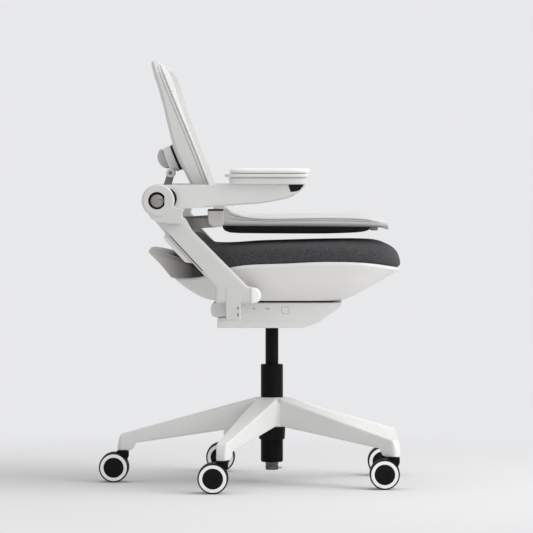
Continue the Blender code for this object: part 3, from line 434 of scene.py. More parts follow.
def painted_shade(look, start, end, dark, axis="X"):
    """Paint shade into a finish: its colour falls off to a darker tone along one axis."""
    tree = look.node_tree
    shader = tree.nodes["Principled BSDF"]
    colour = shader.inputs["Base Color"].links[0].from_socket
    place = fresh(tree, "SeparateXYZ")
    wire(tree.nodes["Texture Coordinate"].outputs["Object"], place.inputs["Vector"])
    fall = span(tree, place.outputs[axis], 1.0, dark, start, end)
    mix = fresh(tree, "VectorMath", "SCALE")
    wire(colour, mix.inputs["Vector"])
    wire(fall, mix.inputs["Scale"])
    wire(mix.outputs["Vector"], shader.inputs["Base Color"])
    return look


white_base = moulded("white_base", (0.775, 0.775, 0.76), 0.42)
white_plastic = moulded("white_plastic", (0.785, 0.78, 0.765), 0.48)
# Backrest shell: painted shade, a darker copy of the white plastic that falls off further toward the shell's
# lower edge.
shell_painted_shade = moulded("white_plastic", (0.61, 0.605, 0.595), 0.48)
shell_painted_shade = painted_shade(shell_painted_shade, FOLD[1] - 0.0085, FOLD[1] - 0.0185, 0.45, "Z")
# Seat tub: white plastic with painted shade that darkens toward the rear.
tub_painted_shade = painted_shade(moulded("white_plastic", (0.81, 0.8, 0.78), 0.48), LIFT - 0.1, LIFT - 0.21, 0.78)
grey_plastic = moulded("grey_plastic", (0.65, 0.645, 0.63), 0.46)
# Armrest beams and carriers: painted light, a lighter copy of the grey plastic that makes up for the pad's
# shadow.
beam_painted_light = moulded("grey_plastic", (0.725, 0.722, 0.708), 0.48)
# Tilt puck: painted light, a much lighter copy of the grey plastic for its lit flange.
puck_painted_light = moulded("grey_plastic", (0.9, 0.895, 0.875), 0.48)
cup_grey = moulded("grey_plastic", (0.54, 0.53, 0.51), 0.5)
panel_grey = moulded("grey_plastic", (0.66, 0.662, 0.645), 0.55, depth=0.00002, shine=0.1)
strut_grey = moulded("grey_plastic", (0.3, 0.285, 0.27), 0.5, shine=0.3)
# Puck cap: painted shade, a darker copy of the grey plastic for the dome's rear-facing side.
cap_painted_shade = moulded("grey_plastic", (0.52, 0.51, 0.49), 0.46)
# Wheel rings and pivot caps: painted light, a brighter copy of the base white.
ring_painted_light = moulded("white_base", (0.95, 0.95, 0.94), 0.4)
taupe_plastic = moulded("taupe_plastic", (0.31, 0.29, 0.27), 0.5, shine=0.3)
black_plastic = moulded("black_plastic", (0.0062, 0.0062, 0.0066), 0.48, drift=0.15, shine=0.1)
black_steel = moulded("black_steel", (0.007, 0.0064, 0.0058), 0.42, 2400, 0.00006, drift=0.12, shine=0.06)
steel = moulded("steel", (0.13, 0.12, 0.105), 0.34, 2400, 0.00005, drift=0.08, metallic=1.0)
# The near-black rubber look is used only for pieces of painted shade: the line in each arm's groove, the
# crescents at the hubs, the fills in the beams' noses, the bands on the fold cups and the ring behind the
# puck.
rubber = moulded("rubber", (0.01, 0.01, 0.011), 0.62, 900, 0.0002, drift=0.15, shine=0.15)
bumper_grey = moulded("rubber", (0.19, 0.185, 0.175), 0.62, 900, 0.0002, drift=0.15, shine=0.15)
fabric = woven("fabric", (0.031, 0.031, 0.033), (0.074, 0.075, 0.079))
# Backrest pad: painted shade, a darker copy of the seat fabric for the pad's downward face.
pad_painted_shade = woven("fabric", (0.012, 0.012, 0.013), (0.03, 0.03, 0.032))

# Star base
base_low, base_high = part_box("base_star")
FIT = 0.0003
hub_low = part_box("hub_collar")[1].z + FIT
TUBE_BORE, STEM_BORE = 0.0243, 0.0058
STEM_REACH, LEG_ROOT, LEG_START = 0.322, 0.02, 0.034
ROOT_HALF, TIP_HALF = 0.027, 0.0126
TIP_REACH, TIP_TALL, TIP_ROUND = 0.0115, 0.037, 0.62
LEG_SECTION = [(0.8, 0.0), (0.9, 0.015), (0.97, 0.05), (1.0, 0.13), (0.992, 0.35), (0.98, 0.6), (0.967, 0.84)]
LEG_SECTION += [(0.95, 0.91), (0.91, 0.96), (0.85, 0.987), (0.76, 1.0), (0.4, 1.0)]
LEG_SECTION += [(-w, h) for w, h in reversed(LEG_SECTION)]
stems = [pi + 2 * pi * k / 5 for k in range(5)]


def leg_loop(reach, heading):
    """Section of a leg at one distance from the chair's middle."""
    share = max(0.0, (reach - LEG_START) / (STEM_REACH - LEG_START))
    half = ROOT_HALF + (TIP_HALF - ROOT_HALF) * min(1.0, share)
    half = min(half, LEG_ROOT * 0.6 + (reach - LEG_ROOT) * 0.7)
    top = base_high.z - 0.001 - (base_high.z - base_low.z - TIP_TALL) * share
    bottom = hub_low + 0.002 - (hub_low - base_low.z - 0.01) * share
    bottom += (base_low.z - bottom) * ease(STEM_REACH - 0.027, STEM_REACH - 0.019, reach)
    past = (reach - STEM_REACH) / TIP_REACH
    if past > 0.0:
        half = half * sqrt(max(0.0, 1 - TIP_ROUND * past * past))
        top = top - TIP_TALL * TIP_ROUND * past ** 3
    tall = top - bottom
    turn = Matrix.Rotation(heading, 3, "Z")
    middle_line = Vector((LIFT, 0, 0))
    return [turn @ Vector((reach, half * w, bottom + tall * h)) + middle_line for w, h in LEG_SECTION]


reaches = list(np.linspace(LEG_ROOT, STEM_REACH, 44)) + [STEM_REACH + TIP_REACH * k / 5 for k in range(1, 6)]
hub_profile = rings(hub_low, (45.5, 0), (48, 1), (49, 4))
hub_profile += rings(base_high.z, (49, -15), (47.5, -12), (33, -1.5), (31.5, -0.4), (29.5, 0))
star = work(turned(hub_profile, along_z()))
for heading in stems:
    merge(star, work(loft([leg_loop(reach, heading) for reach in reaches])))
cut(star, peg(TUBE_BORE, hub_low - 0.03, base_high.z + 0.03, along_z()))
for heading in stems:
    spot = along_z(LIFT + STEM_REACH * cos(heading), STEM_REACH * sin(heading))
    cut(star, peg(STEM_BORE, base_low.z - 0.01, base_low.z + 0.026, spot, 32))
show(star, white_base, "base_star", angle=60)

# Casters
WHEEL_IN, WHEEL_OUT = 0.008, 0.026
RING_IN, RING_OUT = 0.02176, 0.02876
TRAIL, FORK_HALF, AXLE_BORE = 0.0195, 0.0075, 0.0043
for number in range(1, 6):
    x, y, radius = middle(f"caster_wheels_{number}")
    axle = (x, radius)
    half = rings(WHEEL_IN, (4, 0), (10, 0), (28.5, 0.4), (30.8, 1.2))
    half += offset((radius, WHEEL_IN), (-0.4, 2.8), (0, 5))
    half += offset((radius, WHEEL_OUT), (0, -6.5), (-0.3, -4.6), (-1.1, -2.6), (-2.2, -0.9))
    half += offset((RING_OUT, WHEEL_OUT), (0.7, 0), (0.3, -0.4), (0.3, -2.5))
    half += offset((RING_IN, WHEEL_OUT), (-0.3, -2.5), (-0.3, -0.4), (-0.8, 0))
    half += rings(WHEEL_OUT, (18, 0.4), (12, 1), (7.8, 1.3), (7, 0.5), (4.2, 0.3), (1, 0.4))
    profile = [(r, -h) for r, h in reversed(half)] + half
    wheels = work(turned(profile, along_y(axle, y)))
    show(wheels, black_plastic, f"caster_wheels_{number}", angle=40)
    for letter, way in (("a", -1), ("b", 1)):
        face, back = WHEEL_OUT + 0.0004, WHEEL_OUT - 0.0022
        edge = face - 0.0005
        band = [(RING_IN, back), (RING_OUT, back), (RING_OUT, edge)]
        band += [(RING_OUT - 0.0006, face), (RING_IN + 0.0006, face), (RING_IN, edge)]
        band = [(r, way * h) for r, h in band]
        made = work(turned(band, along_y(axle, y), ring=True))
        show(made, ring_painted_light, f"wheel_ring_{number}{letter}", angle=50)
    stem = x + TRAIL
    top = base_low.z - 0.001
    outline = [(stem + 0.0125, top), (stem - 0.011, top)]
    outline += offset(axle, (-13, 22.5), (-16.5, 15), (-16.5, -2), (-11.5, -11.5), (-2, -14.5), (8, -11.5))
    outline += offset((stem, radius), (-3, -1), (8.5, 14.5), (12.5, 24))
    fork = work(prism(outline, y - FORK_HALF, y + FORK_HALF), 0.0022, 3)
    post = rings(top, (9.8, -4), (10.5, -3.2), (10.5, 0), (5.5, 0), (5.5, 24))
    merge(fork, work(turned(post, along_z(stem, y), 40)))
    cut(fork, peg(AXLE_BORE, -0.03, 0.03, along_y(axle, y), 32))
    show(fork, black_plastic, f"caster_body_{number}")

# Gas lift
LIFT_BORE = 0.0143


def sleeve(profile, look, node):
    show(work(turned(profile, along_z(), 96, ring=True)), look, node)


low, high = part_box("hub_collar")
collar = rings(low.z, (24.3, 0), (26.2, 0), (27.2, 0.6), (27.9, 3))
collar += rings(high.z, (29.2, -1), (28.8, 0), (24.3, 0))
sleeve(collar, black_plastic, "hub_collar")
low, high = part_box("lift_tube")
tube = rings(low.z, (6, 0), (21.8, 0), (23.2, 0.8), (24, 3))
tube += rings(high.z, (24, -0.4), (23.6, 0), (22.2, 0)) + rings(low.z, (22.2, 4), (6, 4))
sleeve(tube, black_steel, "lift_tube")
low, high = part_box("lift_bush")
lip = high.z - 0.002
bush = rings(low.z, (14.3, 0), (21.7, 0)) + rings(lip, (21.7, 0), (23.8, 0), (24, 0.5))
bush += rings(lip, (23.2, 1.6)) + rings(high.z, (22, 0), (15, 0), (14.3, -0.6))
sleeve(bush, black_plastic, "lift_bush")
low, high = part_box("gas_cylinder")
column = rings(low.z, (5.3, 0), (14, 0)) + rings(high.z, (14, 0), (3, 0))
column += rings(low.z, (3, 130), (11, 130), (11, 16), (5.3, 16))
sleeve(column, black_steel, "gas_cylinder")
low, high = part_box("piston_rod")
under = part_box("lift_tube")[0].z - FIT
rod = rings(low.z, (11.8, 0), (13.4, 0.5), (14, 1.8), (14, 9.5), (12.8, 10), (12.8, 11.2), (14, 11.7))
rod += rings(under, (14, 0), (5, 0)) + rings(high.z, (5, -12), (10.7, -12), (10.7, 0))
show(work(turned(rod, along_z(), 72)), steel, "piston_rod")
clip = offset((LIFT, low.z), (14.2, 2), (22.5, 2.4), (22.5, 6.4), (14.2, 6.8))
clip = work(prism(clip, -0.0035, 0.0035), 0.0009, 3)
show(clip, white_plastic, name="look_rod_clip", on="piston_rod")

# Distances across the chair of the back arms, their hubs and the armrests' eyes
ARM_IN, ARM_OUT, DISC_OUT = 0.24, 0.266, 0.287
EYE_IN, EYE_OUT = 0.25, 0.277

# Mechanism under the seat
low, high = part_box("mech_housing")
half_mech = high.y
mech_low, mech_high = low.z, high.z
tall = mech_high - mech_low
rear, front = low.x, high.x
step_x, step_z = rear + 0.019, mech_high - 0.032
shell = [(rear, mech_low), (front - 0.082, mech_low), (front - 0.048, mech_low + tall * 0.25)]
shell += [(front - 0.014, mech_low + tall * 0.69), (front - 0.001, mech_low + tall * 0.91)]
shell += [(front, mech_high), (step_x, mech_high), (step_x, step_z), (rear, step_z)]
SEAM = ((rear - 0.01, 0.015), (front + 0.01, 0.015), (front + 0.01, 0.0157), (rear - 0.01, 0.0157))
SLOTS = ((-0.0375, 0.0035, 0.0092, 0.0022), (-0.066, 0.004, 0.0048, 0.0018))
mech = work(prism(shell, -half_mech, half_mech), 0.004, 4)
cut(mech, peg(LIFT_BORE, mech_low - 0.02, mech_high - 0.0057, along_z(), 48))
for button, side in (("height_button", -1), ("tilt_button", 1)):
    spot = middle(button)
    key = rounded((spot.x, spot.z), 0.0076, 0.0071, 9.0, 40)
    well = rounded((spot.x, spot.z), 0.008, 0.0075, 9.0, 40)
    cut(mech, slab(well, side, half_mech - 0.0113, half_mech + 0.02))
    cap = work(slab(key, side, half_mech - 0.008, half_mech + 0.0008), 0.0005, 3)
    show(cap, white_plastic, button)
    for x, z, wide, high_slot in SLOTS:
        slot = rounded((spot.x + x, spot.z + z), wide / 2, high_slot / 2, 3.0, 20)
        cut(mech, slab(slot, side, half_mech - 0.0035, half_mech + 0.02))
    seam = [(x, mech_low + z) for x, z in SEAM]
    cut(mech, slab(seam, side, half_mech - 0.0007, half_mech + 0.02))
show(mech, white_plastic, "mech_housing")
low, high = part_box("torsion_tube")
spot = middle("torsion_tube")
roll = [(0.003, low.y), (0.001, low.y + 0.0008), (0.0002, low.y + 0.0028), (0.0, low.y + 0.005)]
roll += [(inset, -y) for inset, y in reversed(roll)]
loops = []
for inset, y in roll:
    loop = rounded((spot.x + 0.0035, spot.z), 0.02 - inset, 0.016 - inset, 3.4, 64)
    loops.append([(x, y, z) for x, z in loop])
show(work(loft(loops)), white_plastic, "torsion_tube")


def box_loop(x_low, x_high, z_low, z_high, y):
    """Box section with round corners, at one distance across the chair."""
    r = 0.005
    left, right, low, high = x_low + r, x_high - r, z_low + r, z_high - r
    points = []
    for k, corner in enumerate(((right, high), (left, high), (left, low), (right, low))):
        points += arc(corner, r, 90 * k, 90 * k + 90, 5)
    return [(x, y, z) for x, z in points]


for name, side in SIDES:
    reach = ARM_IN - half_mech
    boss_low = PIVOT[1] - 0.017
    stations = [
        (0.002, -0.061, -0.033, mech_low + 0.022, mech_high - 0.004),
        (0.38, -0.06, -0.032, mech_low + 0.028, mech_high + 0.001),
        (0.58, -0.056, -0.027, boss_low, boss_low + 0.018),
        (0.74, -0.015, 0.015, boss_low + 0.002, PIVOT[1] + 0.011),
    ]
    places, *edges = zip(*stations)
    loops = []
    for k in range(25):
        share = places[0] + (places[-1] - places[0]) * k / 24
        rear, front, under, top = (float(np.interp(share, places, edge)) for edge in edges)
        y = side * (half_mech + FIT + reach * share)
        loops.append(box_loop(PIVOT[0] + rear, PIVOT[0] + front, under, top, y))
    made = work(loft(loops))
    smooth = made.modifiers.new("melt", "SMOOTH")
    smooth.iterations = 2
    bake(made)
    wrist = half_mech + reach * 0.74
    stop = ARM_IN - 0.0005
    boss = [(0.015, wrist - 0.006), (0.016, wrist - 0.004), (0.016, stop - 0.001), (0.015, stop)]
    boss += [(0.008, stop), (0.008, 0.261)]
    merge(made, work(turned([(r, side * h) for r, h in boss], along_y(PIVOT), 48)))
    show(made, grey_plastic, "outrigger_" + name)

# Seat
SEAT_MID = LIFT + 0.033
HALF_SEAT, HALF_SPAN = 0.245, 0.232
SEAT_POWER, TUB_SCALE = 3.6, 0.98
seat_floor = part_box("seat_tub")[0].z
RIM_AT = (-1.0, -0.72, -0.49, 0.0, 0.376, 0.75, 0.935, 1.0)
RIM_RISE = (0.05, 0.055, 0.073, 0.082, 0.0856, 0.081, 0.073, 0.069)
TOP_AT = (-1.0, -0.93, -0.87, -0.8, -0.77, -0.75, -0.735, -0.722, -0.71, -0.7, -0.685, -0.665)
TOP_AT += (-0.2, 0.376, 0.637, 0.81, 0.92, 1.0)
TOP_RISE = (0.116, 0.134, 0.144, 0.144, 0.143, 0.1415, 0.1388, 0.1345, 0.128, 0.123, 0.1205, 0.1198)
TOP_RISE += (0.1222, 0.126, 0.1268, 0.1258, 0.1205, 0.114)


def seat_rim(x):
    return seat_floor + curve((x - SEAT_MID) / HALF_SEAT, RIM_AT, RIM_RISE)


def seat_top(x):
    return seat_floor + curve((x - SEAT_MID) / HALF_SEAT, TOP_AT, TOP_RISE)


def seat_outline(scale, shrink=0.0, count=144):
    return rounded((SEAT_MID, 0.0), HALF_SEAT * scale - shrink, HALF_SPAN * scale - shrink, SEAT_POWER, count)


def tub_loop(share, shrink, lift_floor, drop_rim):
    """Loop round the tub, from its floor at share 0 to its rim at share 1."""
    top = seat_outline(TUB_SCALE, shrink)
    low = rounded((LIFT + 0.0135, 0.0), 0.1385 - shrink, 0.12 - shrink, 5.0, len(top))
    loop = []
    for (xt, yt), (xl, yl) in zip(top, low):
        turn = atan2(yt / HALF_SPAN, (xt - SEAT_MID) / HALF_SEAT)
        power = 1.25 - 0.25 * cos(turn) + 1.0 * sin(turn) ** 2
        z_low = seat_floor + lift_floor
        z_top = seat_rim(xt) - drop_rim
        rise = share ** power
        crease = 0.0011 * (sin(turn) ** 2) * exp(-(((share - 0.8) / 0.07) ** 2))
        x = xl + (xt - xl) * share - crease * cos(turn)
        y = yl + (yt - yl) * share - crease * sin(turn)
        loop.append((x, y, z_low + (z_top - z_low) * rise))
    return loop


loops = [tub_loop(k / 40, 0.0, 0.0, 0.006) for k in range(41)]
RIM_EDGE = ((0, 0, 4.5), (0, 0, 0.8), (0.6, 0, 0), (3.4, 4, 0), (4, 4, 0.8))
loops += [tub_loop(1.0, *(value / 1000 for value in row)) for row in RIM_EDGE]
loops += [tub_loop(1 - k / 16, 0.004, 0.004, 0.006) for k in range(17)]
show(work(loft(loops)), tub_painted_shade, "seat_tub", angle=50)


def tail_row(share):
    """Section of the tail at one place round the seat's rear, from -1 to 1."""
    a = pi + radians(56) * share
    c, s = cos(a), sin(a)
    across_x, across_y = -(abs(c) ** (2 / SEAT_POWER)), copysign(abs(s) ** (2 / SEAT_POWER), s)
    steep = SEAT_POWER - 1
    out = Vector((-(abs(across_x) ** steep) / HALF_SEAT, copysign(abs(across_y) ** steep, s) / HALF_SPAN))
    out.normalize()
    rim_edge = Vector((SEAT_MID + HALF_SEAT * TUB_SCALE * across_x, HALF_SPAN * TUB_SCALE * across_y))
    gap = (Vector((HALF_SEAT * across_x, HALF_SPAN * across_y)) * 0.02).dot(out) + 0.0026
    rim = seat_rim(rim_edge.x)
    size = 0.1 + 0.9 * sqrt(max(0.0, 1 - share * share))
    reach = 0.051 * size
    under = 0.0036 - 0.003 * share * share
    corners = [(0.0005, -under), (0.0005, -0.0003), (gap, 0.001), (gap, 0.046 * size + 0.001)]
    corners += [(gap + reach * 0.45, 0.058 * size), (gap + reach * 0.88, 0.062 * size)]
    corners += [(gap + reach, 0.053 * size), (gap + reach * 0.47, 0.027 * size - 0.001)]
    corners += [(gap + reach * 0.03, -under * 0.5)]
    points = []
    for k, corner in enumerate(corners):
        before, after = corners[k - 1], corners[(k + 1) % len(corners)]
        for part in (0.34, 0.12):
            points.append([c + (b - c) * part for b, c in zip(before, corner)])
        for part in (0.12, 0.34):
            points.append([c + (a - c) * part for a, c in zip(after, corner)])
    return [(rim_edge.x + out.x * u, rim_edge.y + out.y * u, rim + z) for u, z in points]


# Seat tail: a lighter taupe with painted shade that darkens almost to black toward the front, where the arm
# shades it.
tail_painted_shade = moulded("taupe_plastic", (0.52, 0.495, 0.465), 0.5, shine=0.3)
tail_painted_shade = painted_shade(tail_painted_shade, LIFT - 0.25, LIFT - 0.164, 0.04)
tail = [tail_row(sin(pi / 2 * k / 30)) for k in range(-30, 31)]
show(work(loft(tail)), tail_painted_shade, "seat_tail", angle=60)

# Back frame
edge_high = Vector((HUB[0] + 0.0132, 0.0, HUB[1] - 0.0687))
edge_low = Vector((PIVOT[0] - 0.079, 0.0, PIVOT[1] + 0.0167))
edge_way = edge_low - edge_high
edge_out = Vector((edge_way.z, 0.0, -edge_way.x)).normalized()


def pocket(radius):
    """Round (x, z) outline with one flat side, in the face of an arm's hub."""
    flat = HUB[0] - 0.0048 + radius
    return [(min(x, flat), z) for x, z in arc((HUB[0] - 0.0025, HUB[1]), radius, 0, 354, 59)]


for name, side in SIDES:
    outline = offset(HUB, (-13, -35.5), (13.2, -68.7))
    outline += offset(PIVOT, (-79, 16.7), (-79, -16), (-57, -16), (-57, -51.5), (-25.4, -51.5), (-25.4, -17))
    outline += arc(PIVOT, 0.017, -90, 90, 20)
    outline += offset(PIVOT, (-11, 18.5)) + offset(HUB, (70.9, -63.4), (55.2, -35.5))
    arm = crown(work(slab(outline, side, ARM_IN, ARM_OUT), 0.0038), side, 0.0045, 0.0009)
    neck = offset(HUB, (-16.5, -36), (-2, -46), (50, -50), (54.5, -40.5))
    neck += offset(HUB, (50, -31), (51.5, -24.5), (55.5, -18), (28, -12), (-28, -12))
    merge(arm, work(slab(neck, side, ARM_IN + 0.0008, DISC_OUT - 0.002), 0.003))
    disc = rings(ARM_IN, (30, 0.4), (33, 1.2), (34.5, 3.5))
    disc += rings(DISC_OUT, (34.5, -4.5), (34, -2.4), (32.5, -0.8), (30, 0))
    merge(arm, work(turned([(r, side * h) for r, h in disc], along_y(HUB))))
    gap = arc(HUB, 0.034, 231, 325, 24) + offset(HUB, (80, -20.8), (80, 60), (-60, 60))
    gap += offset(HUB, (-60, -26.4))
    cut(arm, slab(gap, side, EYE_IN - 0.0005, EYE_OUT + 0.0005))
    cut(arm, peg(0.0093, side * (ARM_IN - 0.02), side * (DISC_OUT - 0.005), along_y(HUB)))
    cut(arm, slab(pocket(0.0183), side, DISC_OUT - 0.0064, DISC_OUT + 0.02))
    line = [edge_high + edge_way * share for share in np.linspace(-0.02, 0.72, 9)]
    line = [(v.x, v.z) for v in line]
    cut(arm, slab(ribbon(line, 0.0033, 0.0053), side, ARM_OUT - 0.003, ARM_OUT + 0.02))
    cut(arm, peg(0.0083, side * (ARM_IN - 0.02), side * (ARM_OUT - 0.004), along_y(PIVOT), 40))
    plate = rounded((PIVOT[0] - 0.0415, PIVOT[1] - 0.0155), 0.0148, 0.0355, 7.0, 64)
    merge(arm, work(slab(plate, side, ARM_OUT - 0.003, ARM_OUT + 0.0018), 0.0006, 2))
    for z, tall_slot in ((0.01, 0.0055), (-0.004, 0.0075)):
        slot = rounded((PIVOT[0] - 0.0315, PIVOT[1] - 0.036 + z), 0.0014, tall_slot / 2, 4.0, 24)
        cut(arm, slab(slot, side, ARM_OUT - 0.004, ARM_OUT + 0.02))
    show(arm, grey_plastic, "back_arm_" + name)
    pin = work(slab(pocket(0.018), side, DISC_OUT - 0.0062, DISC_OUT - 0.0046))
    shaft = peg(0.009, side * (ARM_IN + 0.001), side * (DISC_OUT - 0.005), along_y(HUB))
    show(merge(pin, work(shaft)), black_steel, "armrest_pin_" + name)
    knob = rings(0.0, (13.6, -4.4), (13.8, -3.6), (13.2, -2.2), (11.4, -0.9), (8.2, -0.1))
    knob += rings(0.0, (4.2, 0.3), (0.6, 0.4))
    spot = (HUB[0] - 0.0022, HUB[1] - 0.0005)
    knob = work(turned([(r, side * (DISC_OUT + h)) for r, h in knob], along_y(spot)))
    notch = offset(HUB, (-1, 2.2), (20, 7.5), (20, -8.5), (8, -7.5), (7, -0.5))
    cut(knob, slab(notch, side, DISC_OUT - 0.0034, DISC_OUT + 0.02))
    # Domed half-disc over each pivot; its brighter white is a painted highlight on the pivot boss.
    loops = []
    for inset, rise in ((0.0, -0.002), (0.0, 0.0012), (0.0006, 0.002), (0.0022, 0.0028), (0.006, 0.0033)):
        lens = arc((0.0, 0.0), 0.016 - inset, -76, 76, 30)
        lens += [(-0.004 + inset, 0.0158 - inset), (-0.004 + inset, -0.0158 + inset)]
        loops.append([(x, side * (ARM_OUT + rise), z) for x, z in around(PIVOT, lens)])
    show(work(loft(loops)), ring_painted_light, name="look_pivot_cap_" + name, on="back_arm_" + name)
    # A black strip in the groove along each arm's rear edge: painted shadow for the dark line there.
    shadow_line = work(slab(ribbon(line[1:], 0.0035, 0.0051), side, ARM_OUT - 0.0028, ARM_OUT - 0.0012))
    show(shadow_line, rubber, name="look_arm_seam_" + name, on="back_arm_" + name)
    show(knob, taupe_plastic, name="look_pin_knob_" + name, on="armrest_pin_" + name)
    # A black crescent on the beam beside each hub disc: painted shadow under the disc's edge.
    near, far = [], []
    for k in range(25):
        a = radians(-16 + 60 * k / 24)
        thick = 0.0006 + 0.004 * sin(pi * k / 24) ** 0.8
        for edge, radius in ((near, 0.0347), (far, 0.0347 + thick)):
            edge.append((radius * cos(a), radius * sin(a)))
    shadow_crescent = work(slab(around(HUB, far + near[::-1]), side, EYE_OUT + 0.0006, DISC_OUT - 0.004))
    show(shadow_crescent, rubber, name="look_hub_seal_" + name, on="back_arm_" + name)

for name, side in SIDES:
    strip = []
    for share, out in ((0.01, 0.0003), (0.025, 0.0085), (0.1, 0.0105), (0.47, 0.0105), (0.55, 0.0003)):
        corner = edge_high + edge_way * share + edge_out * out
        strip.append((corner.x, corner.z))
    made = work(slab(strip, side, ARM_IN + 0.004, ARM_OUT - 0.006), 0.0012, 3)
    show(made, white_plastic, "arm_trim_" + name)

span_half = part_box("cross_tube")[1].y
made = work(peg(0.013, -span_half, span_half, along_y(HUB), 64))
show(made, grey_plastic, "cross_tube")
strut = work(prism(link(HUB, 0.0085, TILT, 0.0075), -0.011, 0.011), 0.002, 3)
clamp = rings(0.0, (18.5, -22), (20, -20.5), (20, 20.5), (18.5, 22))
merge(strut, work(turned(clamp, along_y(HUB), 56)))
merge(strut, work(peg(0.009, -0.012, 0.012, along_y(TILT), 48)))
merge(strut, work(peg(0.004, -0.0235, 0.0235, along_y(TILT), 32)))
cut(strut, peg(0.0133, -0.05, 0.05, along_y(HUB), 64))
show(strut, strut_grey, "back_strut")
root, end = (HUB[0] + 0.036, HUB[1] - 0.051), (FOLD[0], FOLD[1] - 0.009)
# Fold brackets: taupe with painted shade that darkens toward the rear.
bar_painted_shade = moulded("taupe_plastic", (0.28, 0.26, 0.24), 0.5, shine=0.3)
bar_painted_shade = painted_shade(bar_painted_shade, LIFT - 0.13, LIFT - 0.166, 0.5)
for name, side in SIDES:
    bar = link(root, 0.0105, end, 0.0105)
    bar = work(slab(bar, side, ARM_IN - 0.018, ARM_IN - FIT), 0.0024, 3)
    cup = [(-0.0168, 0.0185), (-0.0152, -0.002)] + arc((-0.0015, -0.0048), 0.0137, 180, 270, 16)
    cup += arc((0.0085, -0.0095), 0.009, 270, 360, 12) + [(0.0178, 0.0185)]
    merge(bar, work(peg(0.006, side * 0.172, side * 0.202, along_y(FOLD), 32)))
    show(bar, bar_painted_shade, "fold_bracket_" + name)
    cup = work(slab(around(FOLD, cup), side, 0.193, ARM_IN + 0.006), 0.003, 5)
    show(cup, cup_grey, name="look_fold_cup_" + name, on="fold_bracket_" + name)
    # A black band on top of each fold cup: painted shade under the armrest beam.
    rim = offset(FOLD, (-16, 18.7), (-16, 15), (16.8, 15), (16.8, 18.7))
    rim = work(slab(rim, side, 0.195, ARM_IN + 0.0066), 0.001, 2)
    show(rim, rubber, name="look_fold_rim_" + name, on="fold_bracket_" + name)

# Armrests
BEAM = 0.3069
PAD_HALF, PAD_POWER = 0.036, 4.2
# Outline of the painted shade in each beam's nose, as (share of the beam's length, rise) from the hub.
NOSE_SHADOW = ((0.886, 0.0335), (0.902, 0.0183), (0.943, 0.0196), (0.963, 0.022), (0.977, 0.0268), (0.987, 0.0335))
for name, side in SIDES:
    outline = arc(HUB, 0.033, 90, 328, 48)
    shares = [(0.119, -0.0177), (0.317, -0.0145), (0.454, -0.0114), (0.693, -0.0061), (0.765, -0.003)]
    shares += [(0.829, 0.0012), (0.868, 0.0036), (0.898, 0.0064), (0.928, 0.0107), (0.952, 0.0159)]
    shares += [(0.978, 0.0226), (1.0, 0.0295), (0.991, 0.0315), (0.98, 0.0262), (0.965, 0.0215)]
    shares += [(0.944, 0.0192), (0.9, 0.018), (0.884, 0.0337)]
    outline += around(HUB, [(BEAM * x, z) for x, z in shares])
    loops = []
    edge = ((0.0007, 0.0), (0.00025, 0.0002), (0.0, 0.0008))
    edge = [(inset, EYE_IN + y) for inset, y in edge] + [(inset, EYE_OUT - y) for inset, y in edge[::-1]]
    for inset, y in edge:
        loops.append([(x, side * y, z) for x, z in drawn_in(outline, inset)])
    beam = work(loft(loops))
    cut(beam, peg(0.0093, side * 0.23, side * 0.297, along_y(HUB), 48))
    line = around(HUB, [(BEAM * x, z) for x, z in shares[1:9]])
    cut(beam, slab(ribbon(line, 0.0014, 0.003), side, EYE_OUT - 0.0018, EYE_OUT + 0.02))
    show(beam, beam_painted_light, "armrest_beam_" + name)
    # Black fill in the hollow of each beam's nose: painted shade under the pad's front.
    nose_shadow = around(HUB, [(BEAM * x, z) for x, z in NOSE_SHADOW])
    nose_shadow = work(slab(nose_shadow, side, EYE_IN, EYE_OUT - 0.001))
    show(nose_shadow, rubber, name="look_beam_plug_" + name, on="armrest_beam_" + name)
    low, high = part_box("armrest_carrier_" + name)
    spot = middle("armrest_pad_" + name)
    floor, base_top, plate_top = low.z, 0.0132, 0.022
    stack = rings(0.0, (12, 0), (9.8, 0.5), (8.2, 1.8), (7, 7))
    stack += rings(base_top, (6.1, -0.8), (6.8, 0), (9.8, 0.2), (9.8, 1.4), (1.8, 1.6), (0.6, 2.4), (0, 4.5))
    stack += rings(plate_top, (0.1, -0.8), (0.8, 0), (6.8, 0.2), (6.8, 1.4))
    centre = (low + high) / 2
    loops = []
    for shrink, rise in stack:
        plan = rounded((centre.x + shrink * 0.3, spot.y), 0.0875 - shrink, PAD_HALF - shrink, PAD_POWER, 96)
        loops.append([(x, y, floor + rise) for x, y in plan])
    show(work(loft(loops)), beam_painted_light, "armrest_carrier_" + name, angle=44)
    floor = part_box("armrest_pad_" + name)[0].z
    stack = rings(0.0, (6, 0), (1.6, 0.2), (0.5, 1), (0, 3.4), (0.4, 5.4))
    stack += rings(0.0, (1.4, 7), (3.2, 8.2), (6.2, 8.8), (11, 9.1), (20, 9.2), (30, 9.2))
    loops = []
    for shrink, rise in stack:
        plan = rounded((spot.x, spot.y), 0.083 - shrink, PAD_HALF - shrink, PAD_POWER, 96)
        loops.append([(x, y, floor + rise) for x, y in plan])
    show(work(loft(loops)), white_plastic, "armrest_pad_" + name, angle=50)


# Panels
QUARTER = 1.5708


def section(face, wall, grooves, rear):
    """Closed (across, depth) loop of a panel from the +Y half of its face, side wall and rear.

    wall is the side's first and last point; each groove is (depth, width, cut) along it.
    """
    first, last = wall
    side = [first]
    for at, wide, deep in grooves:
        side += [(first[0], at - wide / 2), (first[0] - deep, at - wide * 0.32)]
        side += [(first[0] - deep, at + wide * 0.32), (first[0], at + wide / 2)]
    half = face + side + [last] + rear
    return half + [(-y, d) for y, d in reversed(half)]


def spaced(*runs):
    return [at for run in runs for at in np.linspace(*run)]


